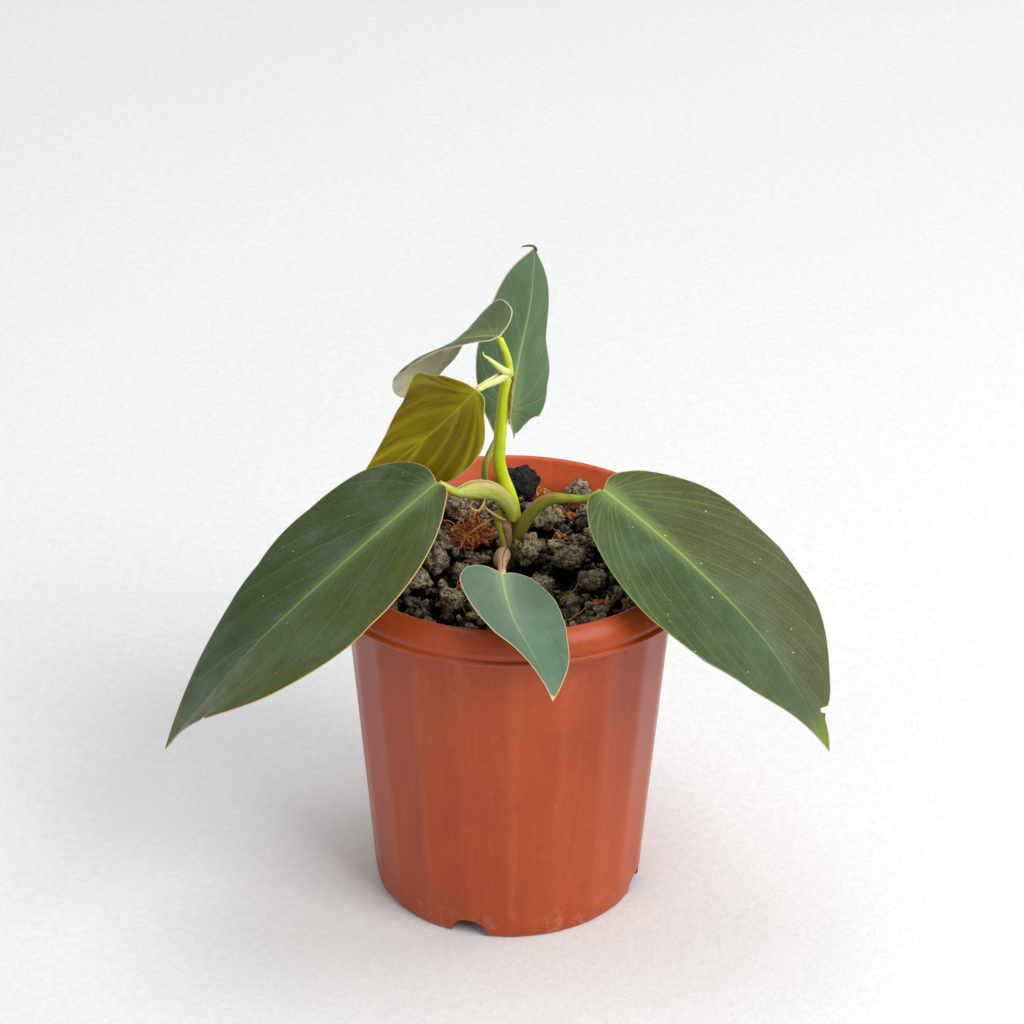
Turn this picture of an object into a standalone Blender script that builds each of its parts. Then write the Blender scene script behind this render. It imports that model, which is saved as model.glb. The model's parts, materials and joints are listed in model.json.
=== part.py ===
"""Young philodendron in a round nursery pot.

Frame: +Z up, -Y is the front of the plant, the origin is the middle of the
pot's flat base.  Lengths below are in millimetres and go into Blender in
metres through MM.

Pieces: the pot, the potting mix in it with lava gravel and a coir clump on
top, the roots in a pocket of the mix, the stem in two lengths, six petioles,
six leaf blades, the scales and aerial roots of the stem.
"""
import math
import bpy
import bmesh
import numpy as np
from mathutils import Vector, noise

MM = 0.001

# ---------------------------------------------------------------- dimensions
POT_HEIGHT = 118.2          # top of the rolled lip
LIP_RADIUS = 60.1           # outer bead of the lip
WALL_TOP_R = 51.3           # outer wall at the corners, just under the lip
WALL_BASE_R = 42.0          # outer wall at the corners, at the foot
WALL_TOP_Z = 108.5
FLOOR_T = 1.8
FACETS = 20                 # flat panels round the wall
FACET_OFFSET = 1.5          # degrees from the front to the first corner
SEGMENTS = 60               # three per facet
NOTCH_W = 12.0              # drainage notches at the foot
NOTCH_H = 5.5
NOTCH_IN = 34.0             # they reach in to this radius
NOTCHES = 4
NOTCH_FIRST = -16.5         # degrees from the front

MIX_TOP = 108.0             # general level of the potting mix
GAP = 0.35                  # air between neighbouring pieces
BLADE_T = 0.8               # leaf blade thickness

# ------------------------------------------------------------------ clearing
for ob in list(bpy.data.objects):
    bpy.data.objects.remove(ob, do_unlink=True)

SCENE = bpy.context.scene


def material(name, rgb, rough, metallic=0.0):
    m = bpy.data.materials.new(name)
    m.use_nodes = True
    b = m.node_tree.nodes["Principled BSDF"]
    b.inputs["Base Color"].default_value = (*rgb, 1.0)
    b.inputs["Roughness"].default_value = rough
    b.inputs["Metallic"].default_value = metallic
    m.diffuse_color = (*rgb, 1.0)
    return m


TERRACOTTA = material("terracotta_plastic", (0.36, 0.10, 0.045), 0.42)
SOIL = material("potting_mix", (0.022, 0.018, 0.015), 0.95)
LAVA = material("lava_gravel", (0.06, 0.055, 0.05), 0.95)
LAVA_BLACK = material("lava_gravel_black", (0.018, 0.018, 0.02), 0.9)
COIR = material("coir_fibre", (0.33, 0.12, 0.04), 0.95)
ROOT = material("root", (0.50, 0.38, 0.22), 0.8)
STEM = material("stem_green", (0.36, 0.50, 0.03), 0.45)
STEM_LOW = material("stem_olive", (0.22, 0.24, 0.05), 0.55)
PETIOLE = material("petiole_green", (0.30, 0.40, 0.10), 0.5)
PETIOLE_PALE = material("petiole_pale", (0.62, 0.70, 0.30), 0.5)
SHEATH = material("sheath_brown", (0.34, 0.20, 0.12), 0.7)
LEAF_DARK = material("leaf_dark", (0.055, 0.095, 0.06), 0.5)
LEAF_BLUE = material("leaf_blue_green", (0.11, 0.19, 0.13), 0.5)
LEAF_OLIVE = material("leaf_olive", (0.25, 0.22, 0.02), 0.45)


def add(name, verts, faces, mat, at=(0, 0, 0), smooth=True):
    """A mesh object whose points are given in millimetres in the plant's
    frame; its own origin is put at the point at."""
    me = bpy.data.meshes.new(name)
    o = np.asarray(at, float)
    me.from_pydata([tuple((np.asarray(v, float) - o) * MM) for v in verts], [], faces)
    me.validate()
    bm = bmesh.new()
    bm.from_mesh(me)
    bmesh.ops.recalc_face_normals(bm, faces=bm.faces)
    bm.to_mesh(me)
    bm.free()
    if smooth:
        me.shade_smooth()
        me.set_sharp_from_angle(angle=math.radians(40))
    ob = bpy.data.objects.new(name, me)
    ob.location = tuple(o * MM)
    me.materials.append(mat)
    SCENE.collection.objects.link(ob)
    return ob


def boolean(ob, cutter, operation="DIFFERENCE"):
    m = ob.modifiers.new(cutter.name, "BOOLEAN")
    m.operation = operation
    m.solver = "EXACT"
    m.object = cutter
    cutter.hide_render = True
    cutter.display_type = "WIRE"


# ------------------------------------------------------------- smooth curves
def spline(points, t):
    """Smooth curve through the points, read at t (0..1, share of the chord
    length)."""
    p = np.asarray(points, float)
    d = np.r_[0, np.cumsum(np.linalg.norm(np.diff(p, axis=0), axis=1))]
    d = d / d[-1]
    n = len(p)
    m = np.zeros_like(p)
    for i in range(1, n - 1):
        h0, h1 = d[i] - d[i - 1], d[i + 1] - d[i]
        m[i] = ((p[i] - p[i - 1]) / h0 * h1 + (p[i + 1] - p[i]) / h1 * h0) / (h0 + h1)
    a, b = (p[1] - p[0]) / (d[1] - d[0]), (p[-1] - p[-2]) / (d[-1] - d[-2])
    m[0] = 1.5 * a - 0.5 * m[1] if n > 2 else a
    m[-1] = 1.5 * b - 0.5 * m[-2] if n > 2 else b
    t = np.clip(np.asarray(t, float), 0, 1)
    k = np.clip(np.searchsorted(d, t, side="right") - 1, 0, n - 2)
    h = d[k + 1] - d[k]
    x = ((t - d[k]) / h)[..., None]
    h = h[..., None]
    return ((2 * x**3 - 3 * x**2 + 1) * p[k] + (x**3 - 2 * x**2 + x) * m[k] * h
            + (-2 * x**3 + 3 * x**2) * p[k + 1] + (x**3 - x**2) * m[k + 1] * h)


def unit(v):
    return v / np.linalg.norm(v, axis=-1, keepdims=True)


def tube(name, points, radii, mat, rings=10, sides=8, tall=None, up=(0, 0, 1)):
    """A closed stalk along a smooth curve.  radii are the half-widths at the
    curve's points; tall, where given, are the half-heights towards up."""
    t = np.linspace(0, 1, rings)
    c = spline(points, t)
    tg = unit(spline(points, np.minimum(t + 0.01, 1)) - spline(points, np.maximum(t - 0.01, 0)))
    key = np.asarray(points, float)
    d = np.r_[0, np.cumsum(np.linalg.norm(np.diff(key, axis=0), axis=1))]
    d /= d[-1]
    ra = np.interp(t, d, radii)
    rb = np.interp(t, d, tall) if tall is not None else ra
    side = None
    verts = []
    for i in range(rings):
        u = np.asarray(up, float)
        if side is not None:
            u = np.cross(side, tg[i]) if abs(np.dot(unit(u), tg[i])) > 0.96 else u
        s = unit(np.cross(tg[i], u))
        side = s
        n = np.cross(s, tg[i])
        for j in range(sides):
            a = 2 * math.pi * (j + 0.5) / sides
            verts.append(c[i] + s * ra[i] * math.cos(a) + n * rb[i] * math.sin(a))
    faces = []
    for i in range(rings - 1):
        for j in range(sides):
            k = (j + 1) % sides
            faces.append((i * sides + j, i * sides + k, (i + 1) * sides + k, (i + 1) * sides + j))
    faces.append(tuple(range(sides))[::-1])
    faces.append(tuple((rings - 1) * sides + j for j in range(sides)))
    return add(name, verts, faces, mat, at=c[0])


# ----------------------------------------------------------------------- pot
def facet_radius(r, deg):
    """Distance from the axis to a flat-sided wall whose corners lie at r."""
    step = 360.0 / FACETS
    a = (deg - FACET_OFFSET) % step - step / 2
    return r * math.cos(math.radians(step / 2)) / math.cos(math.radians(a))


def inner_radius(z):
    return 40.2 + (z - FLOOR_T) * (49.9 - 40.2) / (WALL_TOP_Z - FLOOR_T)


# (radius, height, 1 where the wall is faceted and 0 where it is round),
# from the middle of the base, out, up and over the lip, and down the inside
POT_PROFILE = [
    (40.9, 0.0, 1), (42.0, 1.0, 1), (46.6, 54.0, 1), (WALL_TOP_R, WALL_TOP_Z, 1),
    (52.3, 111.6, 0), (53.9, 115.0, 0), (56.0, 114.9, 0), (57.9, 112.4, 0), (58.6, 109.3, 0),
    (59.4, 108.8, 0), (LIP_RADIUS, 109.2, 0), (LIP_RADIUS, 110.0, 0), (59.4, 110.5, 0),
    (59.5, 112.0, 0), (58.6, 114.6, 0), (57.2, 116.8, 0), (55.9, 117.9, 0), (54.9, POT_HEIGHT, 0),
    (54.1, 117.8, 0), (52.9, 115.6, 0), (50.9, 111.6, 0), (49.9, WALL_TOP_Z, 0), (45.1, 55.2, 0),
    (inner_radius(3.0), 3.0, 0), (39.0, FLOOR_T, 0),
]


def build_pot():
    verts, faces = [], []
    for r, z, flat in POT_PROFILE:
        for j in range(SEGMENTS):
            deg = 360.0 * j / SEGMENTS + FACET_OFFSET
            rr = facet_radius(r, deg) if flat else r
            a = math.radians(deg - 90.0)
            verts.append((rr * math.cos(a), rr * math.sin(a), z))
    n = len(POT_PROFILE)
    for i in range(n - 1):
        for j in range(SEGMENTS):
            k = (j + 1) % SEGMENTS
            faces.append((i * SEGMENTS + j, i * SEGMENTS + k, (i + 1) * SEGMENTS + k, (i + 1) * SEGMENTS + j))
    faces.append(tuple(range(SEGMENTS))[::-1])
    faces.append(tuple((n - 1) * SEGMENTS + j for j in range(SEGMENTS)))
    pot = add("pot", verts, faces, TERRACOTTA)
    for k in range(NOTCHES):
        deg = NOTCH_FIRST + 360.0 / NOTCHES * k
        a = math.radians(deg - 90.0)
        d, w = Vector((math.cos(a), math.sin(a), 0)), Vector((-math.sin(a), math.cos(a), 0))
        arch = [(-NOTCH_W / 2, -1.0), (NOTCH_W / 2, -1.0), (NOTCH_W / 2, 1.2)]
        for s in range(1, 8):
            q = math.pi * s / 8
            arch.append((NOTCH_W / 2 * math.cos(q) * 0.98, 1.2 + (NOTCH_H - 1.2) * math.sin(q) ** 0.7))
        arch.append((-NOTCH_W / 2, 1.2))
        m = len(arch)
        v = [d * rad + w * p + Vector((0, 0, z)) for rad in (NOTCH_IN, 50.0) for p, z in arch]
        f = [tuple(range(m)), tuple(range(m, 2 * m))[::-1]]
        f += [(i, (i + 1) % m, m + (i + 1) % m, m + i) for i in range(m)]
        boolean(pot, add("notch_cutter_%d" % k, v, f, TERRACOTTA, smooth=False))
    return pot


# ----------------------------------------------------------------- stalks
# centre lines; the stem leaves the mix a little behind the pot's axis
LOWER_STEM = [(-1.0, 8.0, 103.0), (-1.0, 8.0, 109.6), (-0.7, 7.8, 113.9), (0.0, 7.4, 119.1), (0.9, 7.0, 123.3)]
LOWER_STEM_R = [2.6, 2.5, 2.3, 2.3, 2.3]
MAIN_STEM = [(1.1, 6.8, 124.2), (-0.7, 6.2, 132.3), (-2.4, 5.8, 137.0), (-3.5, 5.3, 142.4), (-3.2, 4.8, 150.3),
             (-2.5, 4.4, 160.0), (-1.9, 4.2, 166.9), (-0.9, 4.2, 172.3)]
MAIN_STEM_R = [2.2, 2.15, 2.1, 2.05, 1.95, 1.85, 1.8, 1.9]
ROOT_STRANDS = [        # end point and bend of each root in the mix
    ((-24.0, -14.0, 52.0), (-14.0, 2.0, 84.0)),
    ((22.0, -10.0, 48.0), (12.0, 0.0, 80.0)),
    ((-14.0, 28.0, 56.0), (-8.0, 22.0, 86.0)),
    ((20.0, 26.0, 60.0), (12.0, 20.0, 88.0)),
    ((2.0, -24.0, 40.0), (0.0, -6.0, 76.0)),
    ((-2.0, 10.0, 34.0), (3.0, 12.0, 68.0)),
]
CROWN = (-1.0, 8.0, 98.0)       # where the roots meet, under the stem
CROWN_R = 4.2


def ball(name, centre, radii, mat, level=2, rough=0.0, seed=0):
    """A rounded lump, roughened by a fixed noise field."""
    bm = bmesh.new()
    bmesh.ops.create_icosphere(bm, subdivisions=level, radius=1.0)
    for v in bm.verts:
        c = v.co.normalized()
        k = 1.0 + rough * noise.noise(c * 1.7 + Vector((seed * 3.1, seed * 1.7, seed * 0.9)))
        v.co = Vector((c.x * radii[0] * k, c.y * radii[1] * k, c.z * radii[2] * k))
    verts = [tuple(np.array(v.co) + np.array(centre)) for v in bm.verts]
    faces = [tuple(v.index for v in f.verts) for f in bm.faces]
    bm.free()
    return add(name, verts, faces, mat, at=centre)


def root_shape(prefix, grow, mat):
    """Crown and strands; grow widens them for the pocket in the mix."""
    crown = ball(prefix, CROWN, (CROWN_R + grow,) * 3, mat, level=2)
    for i, (end, bend) in enumerate(ROOT_STRANDS):
        tip = np.array(end) + unit(np.array(end) - np.array(bend)) * grow
        s = tube("%s_strand_%d" % (prefix, i), [CROWN, bend, tip], [2.0 + grow, 1.5 + grow, 0.9 + grow], mat,
                 rings=7, sides=6, up=(0.3, 0.9, 0.2))
        boolean(crown, s, "UNION")
    return crown


# --------------------------------------------------------------- potting mix
def mix_height(x, y):
    """Level of the mix: lumpy, and heaped a little at the back."""
    lump = noise.noise(Vector((x * 0.11, y * 0.11, 4.0))) * 0.9
    return MIX_TOP + lump + 1.6 * max(0.0, y / 48.0) ** 2


def build_mix():
    side = [(33.4, FLOOR_T + GAP), (39.9, 7.2), (inner_radius(56.0) - GAP - 0.05, 56.0),
            (inner_radius(106.0) - GAP - 0.05, 106.0)]
    segs = 48
    verts, faces = [(0, 0, FLOOR_T + GAP)], []
    rings = []
    for r, z in side:
        rings.append([len(verts) + j for j in range(segs)])
        verts += [(r * math.cos(2 * math.pi * j / segs), r * math.sin(2 * math.pi * j / segs), z) for j in range(segs)]
    for r in (48.6, 43.0, 34.0, 24.0, 13.0):
        rings.append([len(verts) + j for j in range(segs)])
        for j in range(segs):
            x, y = r * math.cos(2 * math.pi * j / segs), r * math.sin(2 * math.pi * j / segs)
            verts.append((x, y, mix_height(x, y)))
    verts.append((0, 0, mix_height(0, 0)))
    top = len(verts) - 1
    for j in range(segs):
        k = (j + 1) % segs
        faces.append((0, rings[0][k], rings[0][j]))
        for a, b in zip(rings, rings[1:]):
            faces.append((a[j], a[k], b[k], b[j]))
        faces.append((rings[-1][j], rings[-1][k], top))
    mix = add("potting_mix", verts, faces, SOIL)
    pocket = root_shape("root_pocket", 0.5, SOIL)
    pocket.hide_render = True
    pocket.display_type = "WIRE"
    hole = tube("stem_hole", [(-1.0, 8.0, 99.0), (-1.0, 8.0, 118.0)], [3.2, 3.2], SOIL, rings=2, sides=12,
                up=(0, 1, 0))
    boolean(pocket, hole, "UNION")
    boolean(mix, pocket)
    return mix


# -------------------------------------------------------------- leaf blades
class Blade:
    """A heart-shaped blade.

    rib is the midrib from the stalk to the tip.  ref is roughly where the
    upper face looks, roll turns it about the rib and fold lifts each half
    from flat, all in degrees at evenly spaced stations of the rib.  An
    outline gives (share of the rib's length, half-width as a share of that
    length) from the stalk, round the lobe and on to the tip."""

    def __init__(self, rib, ref, roll, fold_r, fold_l, out_r, out_l):
        self.rib = np.asarray(rib, float)
        self.ref = np.asarray(ref, float)
        self.roll = roll
        self.fold = {1: fold_r, -1: fold_l}
        self.out = {1: np.asarray(out_r, float), -1: np.asarray(out_l, float)}
        self.t = np.linspace(0, 1, 201)
        p = spline(self.rib, self.t)
        self.s = np.r_[0, np.cumsum(np.linalg.norm(np.diff(p, axis=0), axis=1))]
        self.length = self.s[-1]

    def point(self, f, b, side):
        """f share of the rib's length, b millimetres from the rib."""
        f, b = np.asarray(f, float), np.asarray(b, float)
        fc = np.clip(f, 0, 1)
        t = np.interp(fc * self.length, self.s, self.t)
        p = spline(self.rib, t)
        tg = unit(spline(self.rib, np.minimum(t + 0.004, 1)) - spline(self.rib, np.maximum(t - 0.004, 0)))
        n = unit(self.ref - (tg @ self.ref)[..., None] * tg)
        r = np.cross(tg, n)
        ro = np.radians(np.interp(fc, np.linspace(0, 1, len(self.roll)), self.roll))[..., None]
        n = np.cos(ro) * n + np.sin(ro) * r
        r = np.cross(tg, n)
        fold = self.fold[side]
        ph = np.radians(np.interp(fc, np.linspace(0, 1, len(fold)), fold))[..., None]
        p = p + (np.minimum(f, 0) * self.length)[..., None] * tg
        return p + side * r * np.cos(ph) * b[..., None] + n * np.sin(ph) * b[..., None]

    def rays(self, n, m):
        """n + 1 vein lines a side, each m + 1 points from the rib out."""
        q = np.linspace(0, 1, n + 1)
        a = np.where(q < 0.22, 0.05 * q / 0.22, 0.05 + 0.95 * (np.clip(q - 0.22, 0, 1) / 0.78) ** 1.08)
        r = np.linspace(0, 1, m + 1)
        grids = {}
        for side in (1, -1):
            o = spline(self.out[side], q)
            f = a[:, None] + (o[:, 0] - a)[:, None] * r[None]
            b = (o[:, 1] * self.length)[:, None] * r[None]
            f = f - 0.16 * np.maximum(o[:, 0] - a, 0)[:, None] * (r * (1 - r))[None]
            grids[side] = self.point(f, b, side)
        return grids


LEAVES = {
    "left": dict(
        rib=[(-22.0, -17.7, 147.5), (-50.6, -27.1, 124.2), (-78.6, -34.8, 98.3), (-104.8, -31.7, 62.1)],
        ref=(0, 0, 1), roll=[1.5, 0, -12.5], fold_r=[-0.5, 3.5, 16.5], fold_l=[-0.5, 3.5, 16],
        out_r=[(0, 0), (-.005, .042), (.016, .14), (.117, .255), (.324, .287), (.582, .228), (.831, .146), (1, 0)],
        out_l=[(0, 0), (-.014, .033), (.022, .121), (.131, .238), (.326, .320), (.592, .275), (.815, .12), (1, 0)]),
    "right": dict(
        rib=[(28.2, -10.2, 141.6), (54.8, -24.3, 123.7), (79.0, -33.4, 99.5), (96.9, -42.0, 69.3)],
        ref=(0, 0, 1), roll=[1.5, 5, -10], fold_r=[-1.5, 7, 16.5], fold_l=[-1.5, 7.5, 16],
        out_r=[(0, 0), (-.014, .055), (.027, .135), (.148, .239), (.36, .322), (.634, .29), (.843, .129), (1, 0)],
        out_l=[(0, 0), (-.017, .054), (.013, .148), (.138, .252), (.36, .298), (.634, .276), (.85, .135), (1, 0)]),
    "front": dict(
        rib=[(-2.3, -38.5, 128.5), (1.1, -56.7, 123.9), (7.5, -69.4, 117.7), (12.7, -86.8, 114.0)],
        ref=(0, 0, 1), roll=[-20.5, -17, -59], fold_r=[-0.5, 16, 11], fold_l=[-1, 16.5, 10],
        out_r=[(0, 0), (-.028, .082), (-.007, .179), (.113, .269), (.322, .272), (.569, .232), (.812, .129), (1, 0)],
        out_l=[(0, 0), (-.031, .085), (-.017, .186), (.114, .266), (.326, .29), (.577, .252), (.81, .124), (1, 0)]),
    "rear": dict(
        rib=[(-0.4, 17.4, 153.0), (2.4, 23.8, 168.6), (5.7, 32.6, 182.8), (6.9, 41.3, 197.3)],
        ref=(0, -1, 0), roll=[30.5, 39.5, 37], fold_r=[3, -6, 0.5], fold_l=[3, -5.5, 0.5],
        out_r=[(0, 0), (-.105, .065), (-.07, .13), (.055, .237), (.31, .259), (.575, .192), (.824, .117), (1, 0)],
        out_l=[(0, 0), (-.105, .07), (-.06, .14), (.077, .233), (.321, .319), (.599, .298), (.845, .178), (1, 0)]),
    "top": dict(
        rib=[(-3.7, 5.5, 184.9), (-12.3, 10.9, 181.7), (-21.5, 17.5, 174.8), (-29.9, 24.6, 166.7),
             (-34.6, 27.4, 161.0), (-36.4, 30.5, 155.3)],
        ref=(0, 0, 1), roll=[0, 0], fold_r=[49, 7.5, -38.5, -110], fold_l=[14, 2.5, -11, -28],
        out_r=[(0, 0), (-.049, .064), (-.057, .158), (.028, .226), (.316, .194), (.637, .198), (.917, .144), (1, 0)],
        out_l=[(0, 0), (-.025, .067), (-.047, .155), (.052, .242), (.277, .275), (.535, .197), (.789, .05), (1, 0)]),
    "new": dict(
        rib=[(-10.3, -10.0, 174.7), (-21.9, 1.5, 156.0), (-34.7, 6.5, 141.7), (-48.5, 11.4, 128.4)],
        ref=(0, 0, 1), roll=[-112, -53, -32], fold_r=[17.5, 10, 5], fold_l=[15.5, 10.5, 5.5],
        out_r=[(0, 0), (-.01, .061), (.029, .14), (.135, .191), (.295, .249), (.52, .185), (.79, .116), (1, 0)],
        out_l=[(0, 0), (-.02, .035), (.044, .114), (.123, .226), (.325, .29), (.556, .225), (.804, .116), (1, 0)]),
}


def build_blade(key, mat, n, m):
    blade = Blade(**LEAVES[key])
    g = blade.rays(n, m)
    verts, index = [], {}

    def put(k, p):
        if k not in index:
            index[k] = len(verts)
            verts.append(p)
        return index[k]

    def vid(side, i, j):
        if i == 0 or i == n:
            return put(("end", i), g[1][i, 0])
        if j == 0:
            return put(("rib", i), g[1][i, 0])
        return put((side, i, j), g[side][i, j])

    faces = []
    for side in (1, -1):
        for i in range(n):
            for j in range(m):
                c = [vid(side, i, j), vid(side, i, j + 1), vid(side, i + 1, j + 1), vid(side, i + 1, j)]
                c = [v for q, v in enumerate(c) if v != c[q - 1]]
                if len(c) > 2:
                    faces.append(tuple(c if side == -1 else c[::-1]))
    ob = add("leaf_" + key, verts, faces, mat, at=LEAVES[key]["rib"][0])
    s = ob.modifiers.new("thickness", "SOLIDIFY")
    s.thickness = BLADE_T * MM
    s.offset = 0.0
    return ob


# ------------------------------------------------------------------ assembly
build_pot()
build_mix()
root_shape("roots", 0.0, ROOT)

tube("lower_stem", LOWER_STEM, LOWER_STEM_R, STEM_LOW, rings=8, sides=10, up=(0, 1, 0))
tube("main_stem", MAIN_STEM, MAIN_STEM_R, STEM, rings=14, sides=10, up=(0, 1, 0))

tube("petiole_left", [(0.6, 1.7, 127.6), (-2.2, 0.4, 133.0), (-5.5, -2.0, 137.8), (-8.5, -5.0, 139.4),
                      (-11.8, -8.5, 139.9), (-16.2, -13.0, 142.0), (-19.2, -16.0, 145.2), (-20.8, -17.0, 146.6)],
     [1.5, 1.7, 1.7, 1.6, 1.3, 1.15, 1.1, 1.1], PETIOLE, rings=14, sides=8,
     tall=[1.8, 3.0, 3.4, 2.8, 1.5, 1.2, 1.15, 1.1])
tube("petiole_right", [(3.5, 3.0, 119.0), (4.0, 2.2, 123.6), (5.9, 0.9, 127.6), (8.2, -0.8, 130.8),
                       (11.9, -3.0, 133.9), (17.2, -6.5, 136.1), (22.8, -9.0, 137.8), (27.0, -10.1, 140.4)],
     [1.4, 1.5, 1.6, 1.6, 1.5, 1.15, 1.05, 1.1], PETIOLE, rings=14, sides=8,
     tall=[1.4, 2.4, 2.9, 2.9, 2.3, 1.3, 1.1, 1.1])
tube("petiole_front", [(-1.5, 3.6, 112.4), (-1.7, -5.0, 115.4), (-2.0, -18.0, 120.4), (-2.3, -37.3, 127.9)],
     [1.3, 1.9, 1.5, 1.1], PETIOLE, rings=9, sides=8)
tube("petiole_rear", [(-2.9, 9.2, 126.2), (-5.6, 9.4, 128.7), (-7.6, 10.2, 132.9), (-7.9, 11.2, 137.1),
                      (-6.8, 12.8, 140.6), (-5.2, 14.5, 143.6), (-3.2, 18.0, 147.0), (-1.5, 19.8, 150.3),
                      (-0.7, 19.0, 152.2)],
     [1.0, 1.05, 1.0, 0.95, 0.9, 0.85, 0.8, 0.8, 0.75], PETIOLE, rings=14, sides=8, up=(0, 1, 0))
tube("petiole_top", [(-0.6, 4.3, 173.0), (-0.9, 4.1, 178.1), (-2.0, 4.3, 181.0), (-3.3, 5.1, 183.8)],
     [1.3, 1.15, 1.05, 0.95], PETIOLE, rings=8, sides=8, up=(0, 1, 0))
tube("petiole_new", [(-2.6, 1.6, 173.4), (-4.6, -1.8, 174.0), (-7.0, -5.2, 174.4), (-9.4, -8.8, 174.5)],
     [1.1, 1.05, 1.0, 0.9], PETIOLE_PALE, rings=7, sides=8, tall=[1.6, 1.4, 1.2, 0.9])
tube("cataphyll", [(-1.9, 0.6, 175.6), (-3.6, 0.1, 177.4), (-5.2, -0.5, 179.2), (-7.0, -1.4, 181.2),
                   (-8.2, -2.0, 183.2)],
     [0.9, 0.9, 0.7, 0.45, 0.2], PETIOLE_PALE, rings=8, sides=6)
tube("dry_scale", [(1.6, 4.4, 171.5), (0.8, 4.4, 166.5), (0.1, 4.6, 160.0), (-0.5, 4.9, 154.0)],
     [0.35, 0.45, 0.5, 0.25], SHEATH, rings=6, sides=6, tall=[1.0, 1.2, 1.1, 0.4], up=(0, 1, 0))
tube("stem_sheath", [(-2.2, 3.9, 124.0), (-2.0, 4.3, 119.8), (-1.9, 4.6, 116.0)],
     [0.9, 1.2, 0.7], SHEATH, rings=5, sides=6, tall=[0.4, 0.5, 0.4], up=(0, 1, 0))

tube("aerial_root_loop", [(-7.6, -7.0, 135.4), (-8.4, -8.2, 134.6), (-9.4, -9.0, 133.6), (-11.2, -9.8, 134.2),
                          (-12.0, -10.4, 136.2), (-11.0, -10.2, 137.2)],
     [0.45, 0.45, 0.4, 0.4, 0.35, 0.25], ROOT, rings=14, sides=6, up=(0.2, 1, 0.1))
tube("aerial_root_long", [(-8.6, -5.4, 134.6), (-7.4, -4.8, 132.0), (-5.6, -3.4, 129.6), (-3.6, -0.6, 126.6),
                          (-2.4, 1.6, 124.4)],
     [0.4, 0.5, 0.5, 0.55, 0.6], ROOT, rings=12, sides=6, up=(0.2, 1, 0.1))
tube("twig", [(-12.6, 3.4, 118.8), (-9.2, 3.8, 121.0), (-6.7, 4.4, 122.4), (-4.4, 5.2, 123.4)],
     [0.35, 0.4, 0.45, 0.4], ROOT, rings=8, sides=6, up=(0.2, 1, 0.1))

build_blade("left", LEAF_DARK, 18, 5)
build_blade("right", LEAF_DARK, 18, 5)
build_blade("front", LEAF_BLUE, 14, 4)
build_blade("rear", LEAF_BLUE, 14, 4)
build_blade("top", LEAF_BLUE, 16, 4)
build_blade("new", LEAF_OLIVE, 14, 4)

# lumps that lie loose on the mix: (x, y, half-width, half-depth, half-height)
CHUNKS = [
    (5.8, 3.2, 3.7, 3.8, 4.4), (3.6, 43.0, 5.2, 4.6, 5.2), (11.8, 25.0, 4.4, 4.2, 3.8), (21.5, 41.0, 3.2, 3.2, 3.2),
    (-22.0, 9.0, 3.4, 3.6, 3.2), (-13.7, -9.0, 3.5, 3.3, 3.0), (28.0, 13.0, 4.0, 3.8, 3.2),
    (17.6, 0.0, 3.8, 3.6, 3.2), (28.5, 27.0, 3.6, 3.6, 3.0), (-22.5, -1.0, 3.5, 3.6, 3.0),
    (9.2, -17.0, 3.8, 3.6, 3.0), (25.0, -13.0, 3.6, 3.4, 3.0), (-28.0, -14.0, 4.0, 3.8, 3.2),
    (-17.5, -25.0, 3.6, 3.4, 3.0), (-16.0, 30.0, 4.0, 4.0, 3.4), (37.0, -3.0, 3.6, 3.6, 3.2),
]


def lump_floor(x, y, r):
    """Highest level of the mix under a lump."""
    return max(mix_height(x + r * math.cos(a) * k, y + r * math.sin(a) * k)
               for k in (0, 0.5, 1.0) for a in np.linspace(0, 2 * math.pi, 12))


for i, (x, y, rx, ry, rz) in enumerate(CHUNKS):
    z = lump_floor(x, y, max(rx, ry)) + rz * 1.12 + GAP
    ball("lava_%02d" % (i + 1), (x, y, z), (rx, ry, rz), LAVA_BLACK if i == 1 else LAVA, level=2,
         rough=0.42, seed=i + 1)

z = lump_floor(-10.5, 14.0, 8.0) + 3.2 + GAP
ball("coir_clump", (-10.5, 15.2, z), (7.0, 5.0, 2.8), COIR, level=2, rough=0.3, seed=40)
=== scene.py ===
"""Looks for the potted philodendron: detailed leaves, stalks, gravel, coir and
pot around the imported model.  Lengths are in millimetres until put() turns
them into metres."""
import json
import math
import bpy
import numpy as np
from mathutils import Matrix, Vector, kdtree, noise

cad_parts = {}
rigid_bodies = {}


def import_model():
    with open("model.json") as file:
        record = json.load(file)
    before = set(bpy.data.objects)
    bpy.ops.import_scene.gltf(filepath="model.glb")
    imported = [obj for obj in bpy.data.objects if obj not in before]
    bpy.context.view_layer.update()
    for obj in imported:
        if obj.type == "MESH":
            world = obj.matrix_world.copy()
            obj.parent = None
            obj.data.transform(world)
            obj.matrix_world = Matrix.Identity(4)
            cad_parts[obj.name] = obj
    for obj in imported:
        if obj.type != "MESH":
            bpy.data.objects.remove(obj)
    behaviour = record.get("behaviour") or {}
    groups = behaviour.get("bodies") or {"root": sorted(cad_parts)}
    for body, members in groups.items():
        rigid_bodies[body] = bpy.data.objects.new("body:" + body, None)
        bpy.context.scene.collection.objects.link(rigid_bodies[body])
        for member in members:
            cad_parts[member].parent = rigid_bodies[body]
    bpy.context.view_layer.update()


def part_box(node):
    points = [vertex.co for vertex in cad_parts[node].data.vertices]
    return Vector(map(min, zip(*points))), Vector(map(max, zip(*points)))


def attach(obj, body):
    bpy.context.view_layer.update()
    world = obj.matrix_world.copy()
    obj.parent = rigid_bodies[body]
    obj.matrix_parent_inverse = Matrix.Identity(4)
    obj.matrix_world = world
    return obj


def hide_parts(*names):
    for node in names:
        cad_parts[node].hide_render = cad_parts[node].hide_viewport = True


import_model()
MM = 0.001
rad, sin, cos, pi = math.radians, math.sin, math.cos, math.pi
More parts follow.
